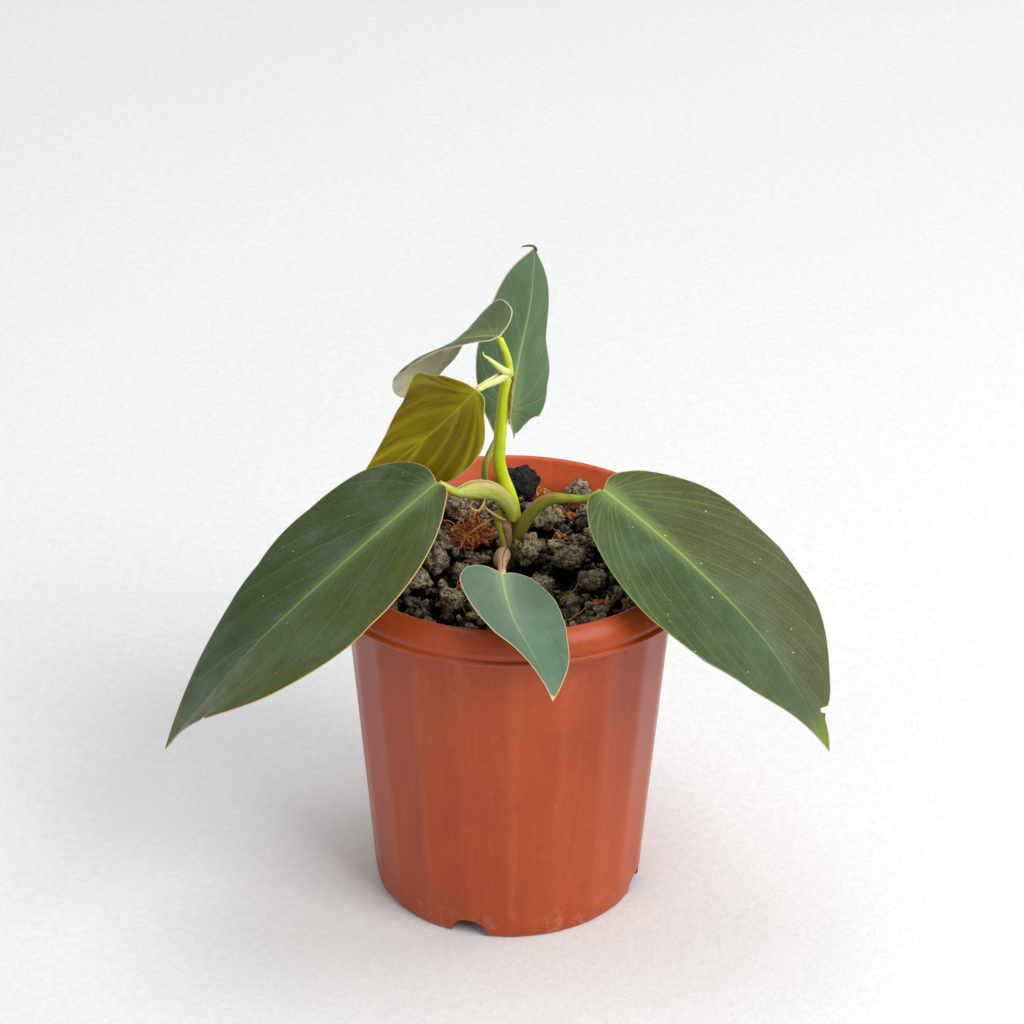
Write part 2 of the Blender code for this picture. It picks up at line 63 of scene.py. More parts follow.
SCENE = bpy.context.scene

# --------------------------------------------------------------------- camera
PITCH, DIST = rad(28.89), 1288.8
fwd = np.array([0, cos(PITCH), -sin(PITCH)])
upv = np.array([0, sin(PITCH), cos(PITCH)])
FOCAL = 4130.0                      # in frame widths / 1024
eye = (np.array([0, 0, 60.0]) - fwd * DIST + np.array([1.0, 0, 0]) * (3.08 / FOCAL * DIST)
       + upv * (190.94 / FOCAL * DIST))
cam_data = bpy.data.cameras.new("camera")
cam_data.sensor_width = 36.0
cam_data.lens = FOCAL / 1024 * 36.0
cam_data.clip_start, cam_data.clip_end = 0.05, 20.0
cam = bpy.data.objects.new("camera", cam_data)
back = -Vector(fwd)
basis = Matrix((Vector((1, 0, 0)), Vector(upv), back)).transposed().to_4x4()
cam.matrix_world = (Matrix.Translation(Vector(eye * MM)) @ basis @ Matrix.Rotation(rad(0.37), 4, "Z")
                    @ Matrix.Rotation(1.23 / FOCAL, 4, "Y"))
SCENE.collection.objects.link(cam)
SCENE.camera = cam
SCENE.view_settings.view_transform = "Standard"
SCENE.view_settings.look = "None"

# --------------------------------------------------------------- small tools
def spline(points, t):
    """Smooth curve through the points, read at t (0..1 of the chord length)."""
    p = np.asarray(points, float)
    d = np.r_[0, np.cumsum(np.linalg.norm(np.diff(p, axis=0), axis=1))]
    d = d / d[-1]
    n = len(p)
    m = np.zeros_like(p)
    for i in range(1, n - 1):
        h0, h1 = d[i] - d[i - 1], d[i + 1] - d[i]
        m[i] = ((p[i] - p[i - 1]) / h0 * h1 + (p[i + 1] - p[i]) / h1 * h0) / (h0 + h1)
    a, b = (p[1] - p[0]) / (d[1] - d[0]), (p[-1] - p[-2]) / (d[-1] - d[-2])
    m[0] = 1.5 * a - 0.5 * m[1] if n > 2 else a
    m[-1] = 1.5 * b - 0.5 * m[-2] if n > 2 else b
    t = np.clip(np.asarray(t, float), 0, 1)
    k = np.clip(np.searchsorted(d, t, side="right") - 1, 0, n - 2)
    h = d[k + 1] - d[k]
    x = ((t - d[k]) / h)[..., None]
    h = h[..., None]
    return ((2 * x**3 - 3 * x**2 + 1) * p[k] + (x**3 - 2 * x**2 + x) * m[k] * h
            + (-2 * x**3 + 3 * x**2) * p[k + 1] + (x**3 - x**2) * m[k + 1] * h)


def unit(v):
    return v / np.maximum(np.linalg.norm(v, axis=-1, keepdims=True), 1e-12)


def smooth(a, b, x):
    x = np.clip((np.asarray(x, float) - a) / (b - a), 0, 1)
    return x * x * (3 - 2 * x)


def nz(x, y, z=0.0):
    return noise.noise(Vector((float(x), float(y), float(z))))


def put(name, verts, faces, mat, nodes=(), attrs=None, smooth_shade=True, sharp=None):
    """A mesh piece that rides with the plant; verts in millimetres."""
    me = bpy.data.meshes.new(name)
    me.from_pydata((np.asarray(verts, float) * MM).tolist(), [], faces)
    me.validate()
    for k, v in (attrs or {}).items():
        a = me.attributes.new(k, "FLOAT", "POINT")
        a.data.foreach_set("value", np.asarray(v, np.float32))
    if smooth_shade:
        me.shade_smooth()
        if sharp:
            me.set_sharp_from_angle(angle=rad(sharp))
    ob = bpy.data.objects.new(name, me)
    SCENE.collection.objects.link(ob)
    me.materials.append(mat)
    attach(ob, "root")
    if nodes:
        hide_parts(*nodes)
    return ob


# ------------------------------------------------------------ material helper
class Nodes:
    def __init__(self, name):
        self.mat = bpy.data.materials.new(name)
        self.mat.use_nodes = True
        self.t = self.mat.node_tree
        self.b = self.t.nodes["Principled BSDF"]

    def new(self, kind, **kw):
        n = self.t.nodes.new(kind)
        for k, v in kw.items():
            setattr(n, k, v)
        return n

    def link(self, a, b):
        self.t.links.new(a, b)

    def attr(self, name):
        return self.new("ShaderNodeAttribute", attribute_name=name).outputs["Fac"]

    def coords(self, scale=(1, 1, 1)):
        m = self.new("ShaderNodeMapping")
        m.inputs["Scale"].default_value = scale
        self.link(self.new("ShaderNodeTexCoord").outputs["Object"], m.inputs["Vector"])
        return m.outputs["Vector"]

    def noise(self, vec, scale, detail=4.0, rough=0.55, dist=0.0):
        n = self.new("ShaderNodeTexNoise")
        n.inputs["Scale"].default_value = scale
        n.inputs["Detail"].default_value = detail
        n.inputs["Roughness"].default_value = rough
        n.inputs["Distortion"].default_value = dist
        self.link(vec, n.inputs["Vector"])
        return n.outputs["Fac"]

    def voronoi(self, vec, scale, feature="F1"):
        n = self.new("ShaderNodeTexVoronoi", feature=feature)
        n.inputs["Scale"].default_value = scale
        self.link(vec, n.inputs["Vector"])
        return n.outputs["Distance"]

    def m(self, op, a, b=None, c=None, clamp=False):
        n = self.new("ShaderNodeMath", operation=op, use_clamp=clamp)
        for i, v in enumerate((a, b, c)):
            if v is None:
                continue
            if isinstance(v, (int, float)):
                n.inputs[i].default_value = float(v)
            else:
                self.link(v, n.inputs[i])
        return n.outputs[0]

    def range(self, v, a, b, lo=0.0, hi=1.0, smoothed=True):
        n = self.new("ShaderNodeMapRange", interpolation_type="SMOOTHSTEP" if smoothed else "LINEAR")
        for k, x in zip(("From Min", "From Max", "To Min", "To Max"), (a, b, lo, hi)):
            n.inputs[k].default_value = x
        self.link(v, n.inputs["Value"])
        return n.outputs["Result"]

    def mix(self, fac, a, b, mode="MIX"):
        n = self.new("ShaderNodeMix", data_type="RGBA", blend_type=mode)
        for sock, v in zip((n.inputs[0], n.inputs[6], n.inputs[7]), (fac, a, b)):
            if isinstance(v, (int, float)):
                sock.default_value = float(v)
            elif isinstance(v, tuple):
                sock.default_value = (*v, 1.0)
            else:
                self.link(v, sock)
        return n.outputs[2]

    def bump(self, height, strength, distance, normal=None):
        n = self.new("ShaderNodeBump")
        n.inputs["Strength"].default_value = strength
        n.inputs["Distance"].default_value = distance
        self.link(height, n.inputs["Height"])
        if normal is not None:
            self.link(normal, n.inputs["Normal"])
        return n.outputs["Normal"]

    def out(self, color=None, rough=None, normal=None, **fixed):
        if color is not None:
            self.link(color, self.b.inputs["Base Color"])
        if rough is not None:
            if isinstance(rough, (int, float)):
                self.b.inputs["Roughness"].default_value = rough
            else:
                self.link(rough, self.b.inputs["Roughness"])
        if normal is not None:
            self.link(normal, self.b.inputs["Normal"])
        for k, v in fixed.items():
            self.b.inputs[k.replace("_", " ")].default_value = v
        return self.mat


def srgb(r, g, b):
    """8-bit display colour to linear."""
    return tuple(((c / 255 + 0.055) / 1.055) ** 2.4 if c > 10 else c / 255 / 12.92 for c in (r, g, b))


# -------------------------------------------------------------- leaf material
def leaf_material(name, base, vary, far, bloom_and_sheen, rib, margin, under, under_vein, n_main=9, a_main=0.3, w_main=0.5,
                  n_fine=64, a_fine=0.1, rough=0.42, bloom_and_sheen_amount=0.3, tip=None, specks=0.3, streak=None,
                  rib_w=(1.15, 0.3), spec=0.3, band=0.0, edge_a=0.8, streak_a=0.6, mottle=0.5):
    """base and vary mottle the blade, far tints the second half, the bloom colour is a
    bluish film, partly waxy bloom and partly a painted sheen; veins are drawn in millimetres from their own phase."""
    g = Nodes(name)
    obj = g.coords()
    q, sp, r, mid, edge, f, up, far_side, dry = (g.attr(k) for k in ("vq", "vs", "vr", "mid", "edge", "share",
                                                                      "upper", "second", "dry"))
    n_big = g.noise(obj, 30.0, 3.0)
    n_mid = g.noise(obj, 150.0, 5.0, 0.62)
    n_fine_ = g.noise(obj, 1100.0, 3.0, 0.6)
    grain = g.new("ShaderNodeCombineXYZ")           # stretched along the veins
    g.link(g.m("MULTIPLY", q, 70.0), grain.inputs[0])
    g.link(g.m("MULTIPLY", r, 3.0), grain.inputs[1])
    along = g.noise(grain.outputs[0], 1.0, 5.0, 0.65)
    col = g.mix(g.range(n_big, 0.3, 0.7), base, vary)
    col = g.mix(g.m("MULTIPLY", g.range(g.m("ADD", far_side, g.m("MULTIPLY", g.m("SUBTRACT", n_big, 0.5), 0.5)),
                                        0.15, 0.85), 0.8), col, far)
    col = g.mix(g.range(along, 0.42, 0.72, 0.0, 0.45), col, g.mix(0.55, col, (0.0, 0.0, 0.0)))
    col = g.mix(g.range(n_mid, 0.5, 0.8, 0.0, 0.30), col, vary)
    cells = g.voronoi(obj, 1250.0)                                  # net of the smallest veins
    col = g.mix(g.m("MULTIPLY", g.range(cells, 0.30, 0.75), mottle * 0.16), col, g.mix(0.4, col, rib))
    col = g.mix(g.m("MULTIPLY", g.range(g.noise(obj, 900.0, 5.0, 0.8), 0.46, 0.66), mottle * 0.32), col,
                g.mix(0.6, col, (0.0, 0.0, 0.0)))
    col = g.mix(g.m("MULTIPLY", g.range(g.noise(obj, 85.0, 4.0, 0.6), 0.48, 0.66), mottle * 0.4), col,
                g.mix(0.38, col, (0.0, 0.0, 0.0)))
    # bluish film in soft patches and drops, stronger along the rib: partly waxy bloom, partly a painted sheen
    drops = g.range(g.noise(obj, 260.0, 2.0, 0.5, 0.8), 0.62, 0.76)
    film = g.range(g.noise(obj, 48.0, 5.0, 0.62, 0.5), 0.42, 0.75)
    bl = g.m("MULTIPLY", g.m("ADD", film, g.m("MULTIPLY", g.m("MULTIPLY", drops, film), 0.9)), bloom_and_sheen_amount)
    bl = g.m("ADD", bl, g.range(mid, 0.5, 11.0, 0.55 * bloom_and_sheen_amount, 0.0), clamp=True)
    col = g.mix(bl, col, bloom_and_sheen)
    if streak is not None:
        st = g.new("ShaderNodeCombineXYZ")
        g.link(g.m("MULTIPLY", q, 17.0), st.inputs[0])
        g.link(g.m("MULTIPLY", r, 1.4), st.inputs[1])
        broad = g.noise(st.outputs[0], 1.0, 3.0, 0.6)
        col = g.mix(g.range(broad, 0.40, 0.66, 0.0, streak_a), col, streak)
    # lateral veins: thin lines of even width, each with its own strength
    def lines(count, width, power):
        ph = g.m("ADD", g.m("MULTIPLY", q, float(count)), 0.5)
        dist = g.m("MULTIPLY", g.m("DIVIDE", g.m("ABSOLUTE", g.m("SUBTRACT", g.m("FRACT", ph), 0.5)), float(count)), sp)
        own = g.new("ShaderNodeTexWhiteNoise", noise_dimensions="1D")
        g.link(g.m("FLOOR", ph), own.inputs["W"])
        strength = g.m("MULTIPLY_ADD", own.outputs["Value"], 0.65, 0.35)
        return g.m("MULTIPLY", g.range(dist, width, width * 0.15), strength)

    mv, fv = lines(n_main, w_main, 1), lines(n_fine, 0.16, 1)
    wide = lines(n_main, w_main * 4.5, 1)
    brk = g.range(n_mid, 0.25, 0.6, 0.45, 1.0)
    col = g.mix(g.m("MULTIPLY", g.m("MULTIPLY", fv, a_fine), brk), col, rib)
    col = g.mix(g.m("MULTIPLY", g.m("MULTIPLY", mv, a_main), brk), col, rib)
    if band:
        col = g.mix(g.m("MULTIPLY", wide, band), col, rib)
    # pale specks
    vor = g.voronoi(obj, 330.0)
    sk = g.m("MULTIPLY", g.range(vor, 0.11, 0.06), g.range(g.noise(obj, 420.0, 2.0), 0.56, 0.62))
    col = g.mix(g.m("MULTIPLY", sk, specks), col, srgb(214, 216, 196))
    # midrib, wide and pale at the stalk
    w = g.m("MULTIPLY_ADD", g.m("POWER", g.m("SUBTRACT", 1.0, f, clamp=True), 1.3), rib_w[0] - rib_w[1], rib_w[1])
    ratio = g.m("DIVIDE", mid, w)
    ribm = g.range(ratio, 1.25, 0.35)
    halo = g.range(ratio, 7.0, 0.8, 0.0, 0.34)
    col = g.mix(g.m("MAXIMUM", g.m("MULTIPLY", ribm, g.range(f, 0.75, 0.0, 0.34, 0.92, False)),
                    g.m("MULTIPLY", halo, g.range(f, 0.7, 0.0))), col, rib)
    if tip is not None:
        tm = g.range(g.m("ADD", f, g.m("MULTIPLY", g.m("SUBTRACT", n_mid, 0.5), 0.08)), tip[1], tip[1] + (0.16 if len(tip) < 3 else tip[2]), 0.0, 0.9)
        col = g.mix(tm, col, tip[0])
    # thin horny edge
    em = g.range(g.m("ADD", edge, g.m("MULTIPLY", g.m("SUBTRACT", n_mid, 0.5), 0.25)), 0.38, 0.10)
    col = g.mix(g.m("MULTIPLY", em, edge_a), col, margin)
    # underside
    ucol = g.mix(g.range(n_big, 0.3, 0.7, 0.0, 0.6), under, g.mix(0.35, under, base))
    ucol = g.mix(g.range(along, 0.4, 0.7, 0.0, 0.3), ucol, under_vein)
    ucol = g.mix(g.m("MAXIMUM", g.m("MULTIPLY", wide, 0.75), g.m("MULTIPLY", ribm, 0.9)), ucol, under_vein)
    ucol = g.mix(g.m("MULTIPLY", em, 0.8), ucol, margin)
    col = g.mix(up, ucol, col)
    col = g.mix(g.m("MULTIPLY", dry, g.range(n_mid, 0.3, 0.6, 0.7, 1.0)), col, srgb(112, 66, 34))
    h = g.m("ADD", g.m("MULTIPLY", fv, -0.25), g.m("MULTIPLY", n_fine_, 0.5))
    h = g.m("ADD", h, g.m("MULTIPLY", mv, -0.7))
    ro = g.range(g.noise(obj, 120.0, 4.0, 0.65), 0.3, 0.7, rough - 0.07, rough + 0.10)
    ro = g.m("ADD", ro, g.m("MULTIPLY", g.m("SUBTRACT", 1.0, up), 0.12))
    mat = g.out(col, ro, g.bump(h, 0.5, 0.00012), IOR=1.42)
    g.b.inputs["Specular IOR Level"].default_value = spec
    return mat


M_LEAF_L = leaf_material("leaf_dark_left", srgb(50, 68, 34), srgb(62, 78, 38), srgb(76, 86, 14), srgb(96, 120, 100),
                         srgb(156, 178, 96), srgb(222, 178, 120), srgb(112, 122, 82), srgb(146, 156, 104),
                         n_main=9, a_main=0.16, w_main=0.4, n_fine=70, a_fine=0.2, bloom_and_sheen_amount=0.42,
                         specks=0.7, tip=(srgb(104, 100, 30), 0.84), mottle=1.0, rib_w=(0.95, 0.22))
M_LEAF_R = leaf_material("leaf_dark_right", srgb(58, 76, 44), srgb(68, 84, 48), srgb(76, 76, 42), srgb(92, 114, 92),
                         srgb(150, 172, 84), srgb(176, 176, 100), srgb(112, 122, 82), srgb(146, 156, 104),
                         n_main=13, a_main=0.30, w_main=0.26, n_fine=66, a_fine=0.2, bloom_and_sheen_amount=0.30,
                         specks=1.0, tip=(srgb(112, 132, 30), 0.84), edge_a=0.6, mottle=0.95, rib_w=(0.9, 0.22))
M_LEAF_FRONT = leaf_material("leaf_front", srgb(86, 110, 88), srgb(96, 120, 98), srgb(82, 108, 88),
                             srgb(116, 140, 122), srgb(156, 178, 120), srgb(220, 200, 150), srgb(128, 142, 110),
                             srgb(162, 172, 128), n_main=6, a_main=0.14, w_main=0.3, n_fine=34, a_fine=0.06,
                             bloom_and_sheen_amount=0.45, specks=0.2, tip=(srgb(236, 206, 84), 0.935, 0.04), rib_w=(0.7, 0.18),
                             spec=0.35, mottle=0.5)
M_LEAF_REAR = leaf_material("leaf_rear", srgb(74, 100, 64), srgb(88, 114, 78), srgb(68, 94, 62), srgb(86, 112, 84),
                            srgb(150, 174, 108), srgb(204, 184, 140), srgb(120, 134, 100), srgb(160, 170, 128),
                            n_main=6, a_main=0.20, w_main=0.36, n_fine=34, a_fine=0.05, bloom_and_sheen_amount=0.35,
                            specks=0.1, rib_w=(0.8, 0.26), mottle=0.35)
# this leaf's very pale underside colours are partly its own paler underside, partly painted light shining through the
# leaf
M_LEAF_TOP = leaf_material("leaf_top", srgb(94, 106, 66), srgb(108, 120, 80), srgb(66, 84, 48), srgb(118, 128, 96),
                           srgb(172, 184, 122), srgb(226, 212, 172), srgb(212, 208, 178), srgb(248, 244, 224),
                           n_main=5, a_main=0.10, w_main=0.36, n_fine=30, a_fine=0.08, bloom_and_sheen_amount=0.35,
                           specks=0.05, rib_w=(0.6, 0.25), mottle=0.35)
M_LEAF_NEW = leaf_material("leaf_new", srgb(134, 108, 0), srgb(152, 132, 0), srgb(122, 104, 0), srgb(150, 136, 4),
                           srgb(196, 186, 40), srgb(206, 190, 104), srgb(150, 146, 60), srgb(176, 172, 90),
                           n_main=7, a_main=0.30, w_main=0.4, n_fine=30, a_fine=0.14, bloom_and_sheen_amount=0.10,
                           streak=srgb(112, 76, 0), rib_w=(0.8, 0.4), rough=0.42, spec=0.1, specks=0.0, band=0.40,
                           streak_a=0.62, mottle=0.3)


# --------------------------------------------------------------------- leaves
class Blade:
    """See the model: rib, ref, roll, fold and the two outlines."""

    def __init__(self, rib, ref, roll, fold_r, fold_l, out_r, out_l, **_):
        self.rib, self.ref, self.roll = np.asarray(rib, float), np.asarray(ref, float), roll
        self.fold = {1: fold_r, -1: fold_l}
        self.out = {1: np.asarray(out_r, float), -1: np.asarray(out_l, float)}
        self.t = np.linspace(0, 1, 401)
        p = spline(self.rib, self.t)
        self.s = np.r_[0, np.cumsum(np.linalg.norm(np.diff(p, axis=0), axis=1))]
        self.length = self.s[-1]

    def frame(self, f):
        fc = np.clip(f, 0, 1)
        t = np.interp(fc * self.length, self.s, self.t)
        p = spline(self.rib, t)
        tg = unit(spline(self.rib, np.minimum(t + 0.004, 1)) - spline(self.rib, np.maximum(t - 0.004, 0)))
        n = unit(self.ref - (tg @ self.ref)[..., None] * tg)
        r = np.cross(tg, n)
        x = np.linspace(0, 1, len(self.roll))
        ro = np.radians(np.interp(fc, x, self.roll))[..., None]
        n = np.cos(ro) * n + np.sin(ro) * r
        r = np.cross(tg, n)
        return p + (np.minimum(f, 0) * self.length)[..., None] * tg, n, r, fc

    def point(self, f, b, side):
        p, n, r, fc = self.frame(f)
        fold = self.fold[side]
        # each half bends out of the rib in a soft curve and not at a crease
        ph = np.radians(np.interp(fc, np.linspace(0, 1, len(fold)), fold))[..., None]
        bb = b[..., None]
        return p + side * r * np.cos(ph) * bb + n * np.sin(ph) * bb


def vein_phase(out, f, b, length):
    """Vein coordinates of points (f, b): veins leave the rib forwards and
    arch along the edge.  Gives phase, share of the vein, and mm per phase."""
    nq, nr = 200, 50
    q, r = np.linspace(0, 1, nq + 1), np.linspace(0, 1.08, nr + 1)
    o = spline(out, q)
    a = np.where(q < 0.45, 0.03 * q / 0.45, 0.03 + 0.97 * (np.clip(q - 0.45, 0, 1) / 0.55) ** 2.5)
    rr = np.minimum(r, 1)
    F = (a[:, None] + (o[:, 0] - a)[:, None] * (r ** 1.2)[None]) * length
    G = np.maximum(o[:, 1], 0)[:, None] * length * (1 - (1 - rr) ** 1.4 + (r - rr) * 0.6)[None]
    dF, dG = np.gradient(F, q, axis=0), np.gradient(G, q, axis=0)
    eF, eG = np.gradient(F, r, axis=1), np.gradient(G, r, axis=1)
    tree = kdtree.KDTree(F.size)
    for k, (x, y) in enumerate(zip(F.ravel(), G.ravel())):
        tree.insert((x, y, 0), k)
    tree.balance()
    Q, R, S = np.zeros(len(f)), np.zeros(len(f)), np.zeros(len(f))
    for i, (x, y) in enumerate(zip(f * length, b)):
        k = tree.find((x, y, 0))[1]
        u, v = divmod(k, nr + 1)
        det = dF[u, v] * eG[u, v] - dG[u, v] * eF[u, v]
        ex, ey = x - F[u, v], y - G[u, v]
        if abs(det) > 1e-6:
            du = np.clip((ex * eG[u, v] - ey * eF[u, v]) / det, -1 / nq, 1 / nq)
            dv = np.clip((dF[u, v] * ey - dG[u, v] * ex) / det, -1 / nr, 1 / nr)
        else:
            du = dv = 0.0
        Q[i], R[i] = q[u] + du, r[v] + dv
        S[i] = abs(det) / max(math.hypot(eF[u, v], eG[u, v]), 1e-6)
    return np.clip(Q, 0, 1), np.clip(R, 0, 1), np.clip(S, 2.0, 400.0)


def blade_piece(name, spec, mat, n=96, m=28, thick=0.42, waves=(1.0, 5.0), cup=0.0, veins=7, quilt=0.18,
                seed=0.0, cut=None, dry=()):
    """cut: {side: [(ray, share of the half kept)...]} for tears and bites;
    dry: (side, ray, share, size) brown spots."""
    B = Blade(**spec)
    L = B.length
    q = set(np.linspace(0, 1, n + 1).round(6))
    for tab in (cut or {}).values():
        for x, _ in tab:
            q |= {round(x + e, 6) for e in (-0.002, 0.0, 0.002) if 0 < x + e < 1}
    q = np.array(sorted(q))
    n = len(q) - 1
    a = np.where(q < 0.22, 0.05 * q / 0.22, 0.05 + 0.95 * (np.clip(q - 0.22, 0, 1) / 0.78) ** 1.08)
    r = np.r_[0, 0.010, 0.022, np.linspace(0, 1, m + 1)[1:] ** 0.95]
    m = len(r) - 1
    P, att, index = [], [], {}

    def vid(side, i, j):
        return index[("end", i) if i in (0, n) else (("rib", i) if j == 0 else (side, i, j))]

    for side in (1, -1):
        o = spline(B.out[side], q)
        wob = np.array([nz(qq * 9.0, side * 3.0, seed) for qq in q]) * 0.005 * np.sin(pi * q) * 0.4
        ob = np.maximum(o[:, 1] + wob, 0)
        k = np.ones(len(q))
        if cut and side in cut:
            kq, kv = zip(*cut[side])
            k = np.interp(q, kq, kv)
        R = r[None] * k[:, None]
        f = a[:, None] + (o[:, 0] - a)[:, None] * R - 0.16 * np.maximum(o[:, 0] - a, 0)[:, None] * (R * (1 - R))
        b = (ob * L)[:, None] * R
        p = B.point(f, b, side)
        _, nn, rr, _ = B.frame(f)
        ef, eb = f[:, -1] * L, b[:, -1]
        A = np.stack([ef[:-1], eb[:-1]], 1)
        D = np.stack([np.diff(ef), np.diff(eb)], 1)
        pts = np.stack([(f * L).ravel(), b.ravel()], 1)
        t = np.clip(((pts[:, None] - A[None]) * D[None]).sum(2) / np.maximum((D ** 2).sum(1), 1e-9)[None], 0, 1)
        edge = np.sqrt((((A[None] + t[..., None] * D[None]) - pts[:, None]) ** 2).sum(2)).min(1).reshape(f.shape)
        vq, vr, vs = (x.reshape(f.shape) for x in vein_phase(B.out[side], f.ravel(), b.ravel(), L))
        wave = waves[0] * (R ** 2.2) * np.sin(2 * pi * (q[:, None] * waves[1] * 0.5 + 0.13 * side + seed)) \
            * np.sin(pi * np.clip(q[:, None] * 1.05, 0, 1)) ** 0.8
        cupv = cup * np.sin(pi * np.clip(R, 0, 1)) * smooth(0, 0.15, q)[:, None] * smooth(1, 0.7, q)[:, None]
        ql = quilt * np.cos(2 * pi * vq * veins) * smooth(0, 0.25, R) * smooth(1.0, 0.8, R) \
            * smooth(0.02, 0.2, q)[:, None] * smooth(1.0, 0.85, q)[:, None]
        p = p + nn * (wave + cupv - ql)[..., None]
        brown = np.zeros(f.shape)
        for sd, q0, r0, size in dry:
            if sd == side:
                i0 = int(np.argmin(abs(q - q0)))
                j0 = int(np.argmin(abs(R[i0] - r0)))
                brown = np.maximum(brown, smooth(size, size * 0.4, np.linalg.norm(p - p[i0, j0], axis=2)))
        for i in range(n + 1):
            for j in range(m + 1):
                key = ("end", i) if i in (0, n) else (("rib", i) if j == 0 else (side, i, j))
                if key in index:
                    continue
                end = i in (0, n)
                index[key] = len(P)
                P.append(p[i, j])
                att.append((vq[i, j], vr[i, j], 0.0 if end else b[i, j], 0.0 if end else edge[i, j],
                            float(np.clip(f[i, j], 0, 1)), side, *nn[i, j], vs[i, j], brown[i, j],
                            0.5 - 0.5 * side * min(1.0, b[i, j] / 6.0)))
    P, att = np.array(P), np.array(att)
    faces = []
    for side in (1, -1):
        for i in range(n):
            for j in range(m):
                c = [vid(side, i, j), vid(side, i, j + 1), vid(side, i + 1, j + 1), vid(side, i + 1, j)]
                c = [v for k, v in enumerate(c) if v != c[k - 1]]
                if len(c) > 2:
                    faces.append(tuple(c if side == -1 else c[::-1]))
    N = np.zeros_like(P)
    for fc in faces:
        v = P[list(fc)]
        nn = np.cross(v[1] - v[0], v[2] - v[0])
        if len(fc) == 4:
            nn = nn + np.cross(v[2] - v[0], v[3] - v[0])
        N[list(fc)] += nn
    N = unit(N)
    if np.sum(N * att[:, 6:9]) < 0:
        N = -N
        faces = [fc[::-1] for fc in faces]
    mid, edge, share = att[:, 2], att[:, 3], att[:, 4]
    ribw = 1.15 * (1 - share) ** 0.8 + 0.25
    k = 1.0 if L > 80 else 0.62
    ridge = np.exp(-(mid / (ribw * k)) ** 2)
    taper = 0.55 + 0.45 * smooth(0, 2.5, edge)
    groove = -0.34 * k * np.exp(-(mid / (0.55 * ribw * k)) ** 2) * (1 - share) ** 0.5
    top = P + N * (thick / 2 * taper + groove)[:, None]
    bot = P - N * (thick / 2 * taper + (1.15 * k * (1 - share) ** 0.7 + 0.05) * ridge)[:, None]
    nv = len(P)
    verts = np.vstack([top, bot])
    allf = list(faces) + [tuple(v + nv for v in fc[::-1]) for fc in faces]
    count = set()
    for fc in faces:
        count |= set(zip(fc, fc[1:] + fc[:1]))
    for (u, v) in sorted(count):        # the rim that sews the two skins together
        if (v, u) not in count:
            allf.append((v, u, u + nv, v + nv))
    tile = lambda x: np.concatenate([x, x])
    attrs = dict(vq=tile(att[:, 0]), vr=tile(att[:, 1]), mid=tile(mid), edge=tile(edge), share=tile(share),
                 vs=tile(att[:, 9]), dry=tile(att[:, 10]), second=tile(att[:, 11]),
                 upper=np.concatenate([np.ones(nv), np.zeros(nv)]))
    return put(name, verts, allf, mat, (spec["node"],), attrs), B


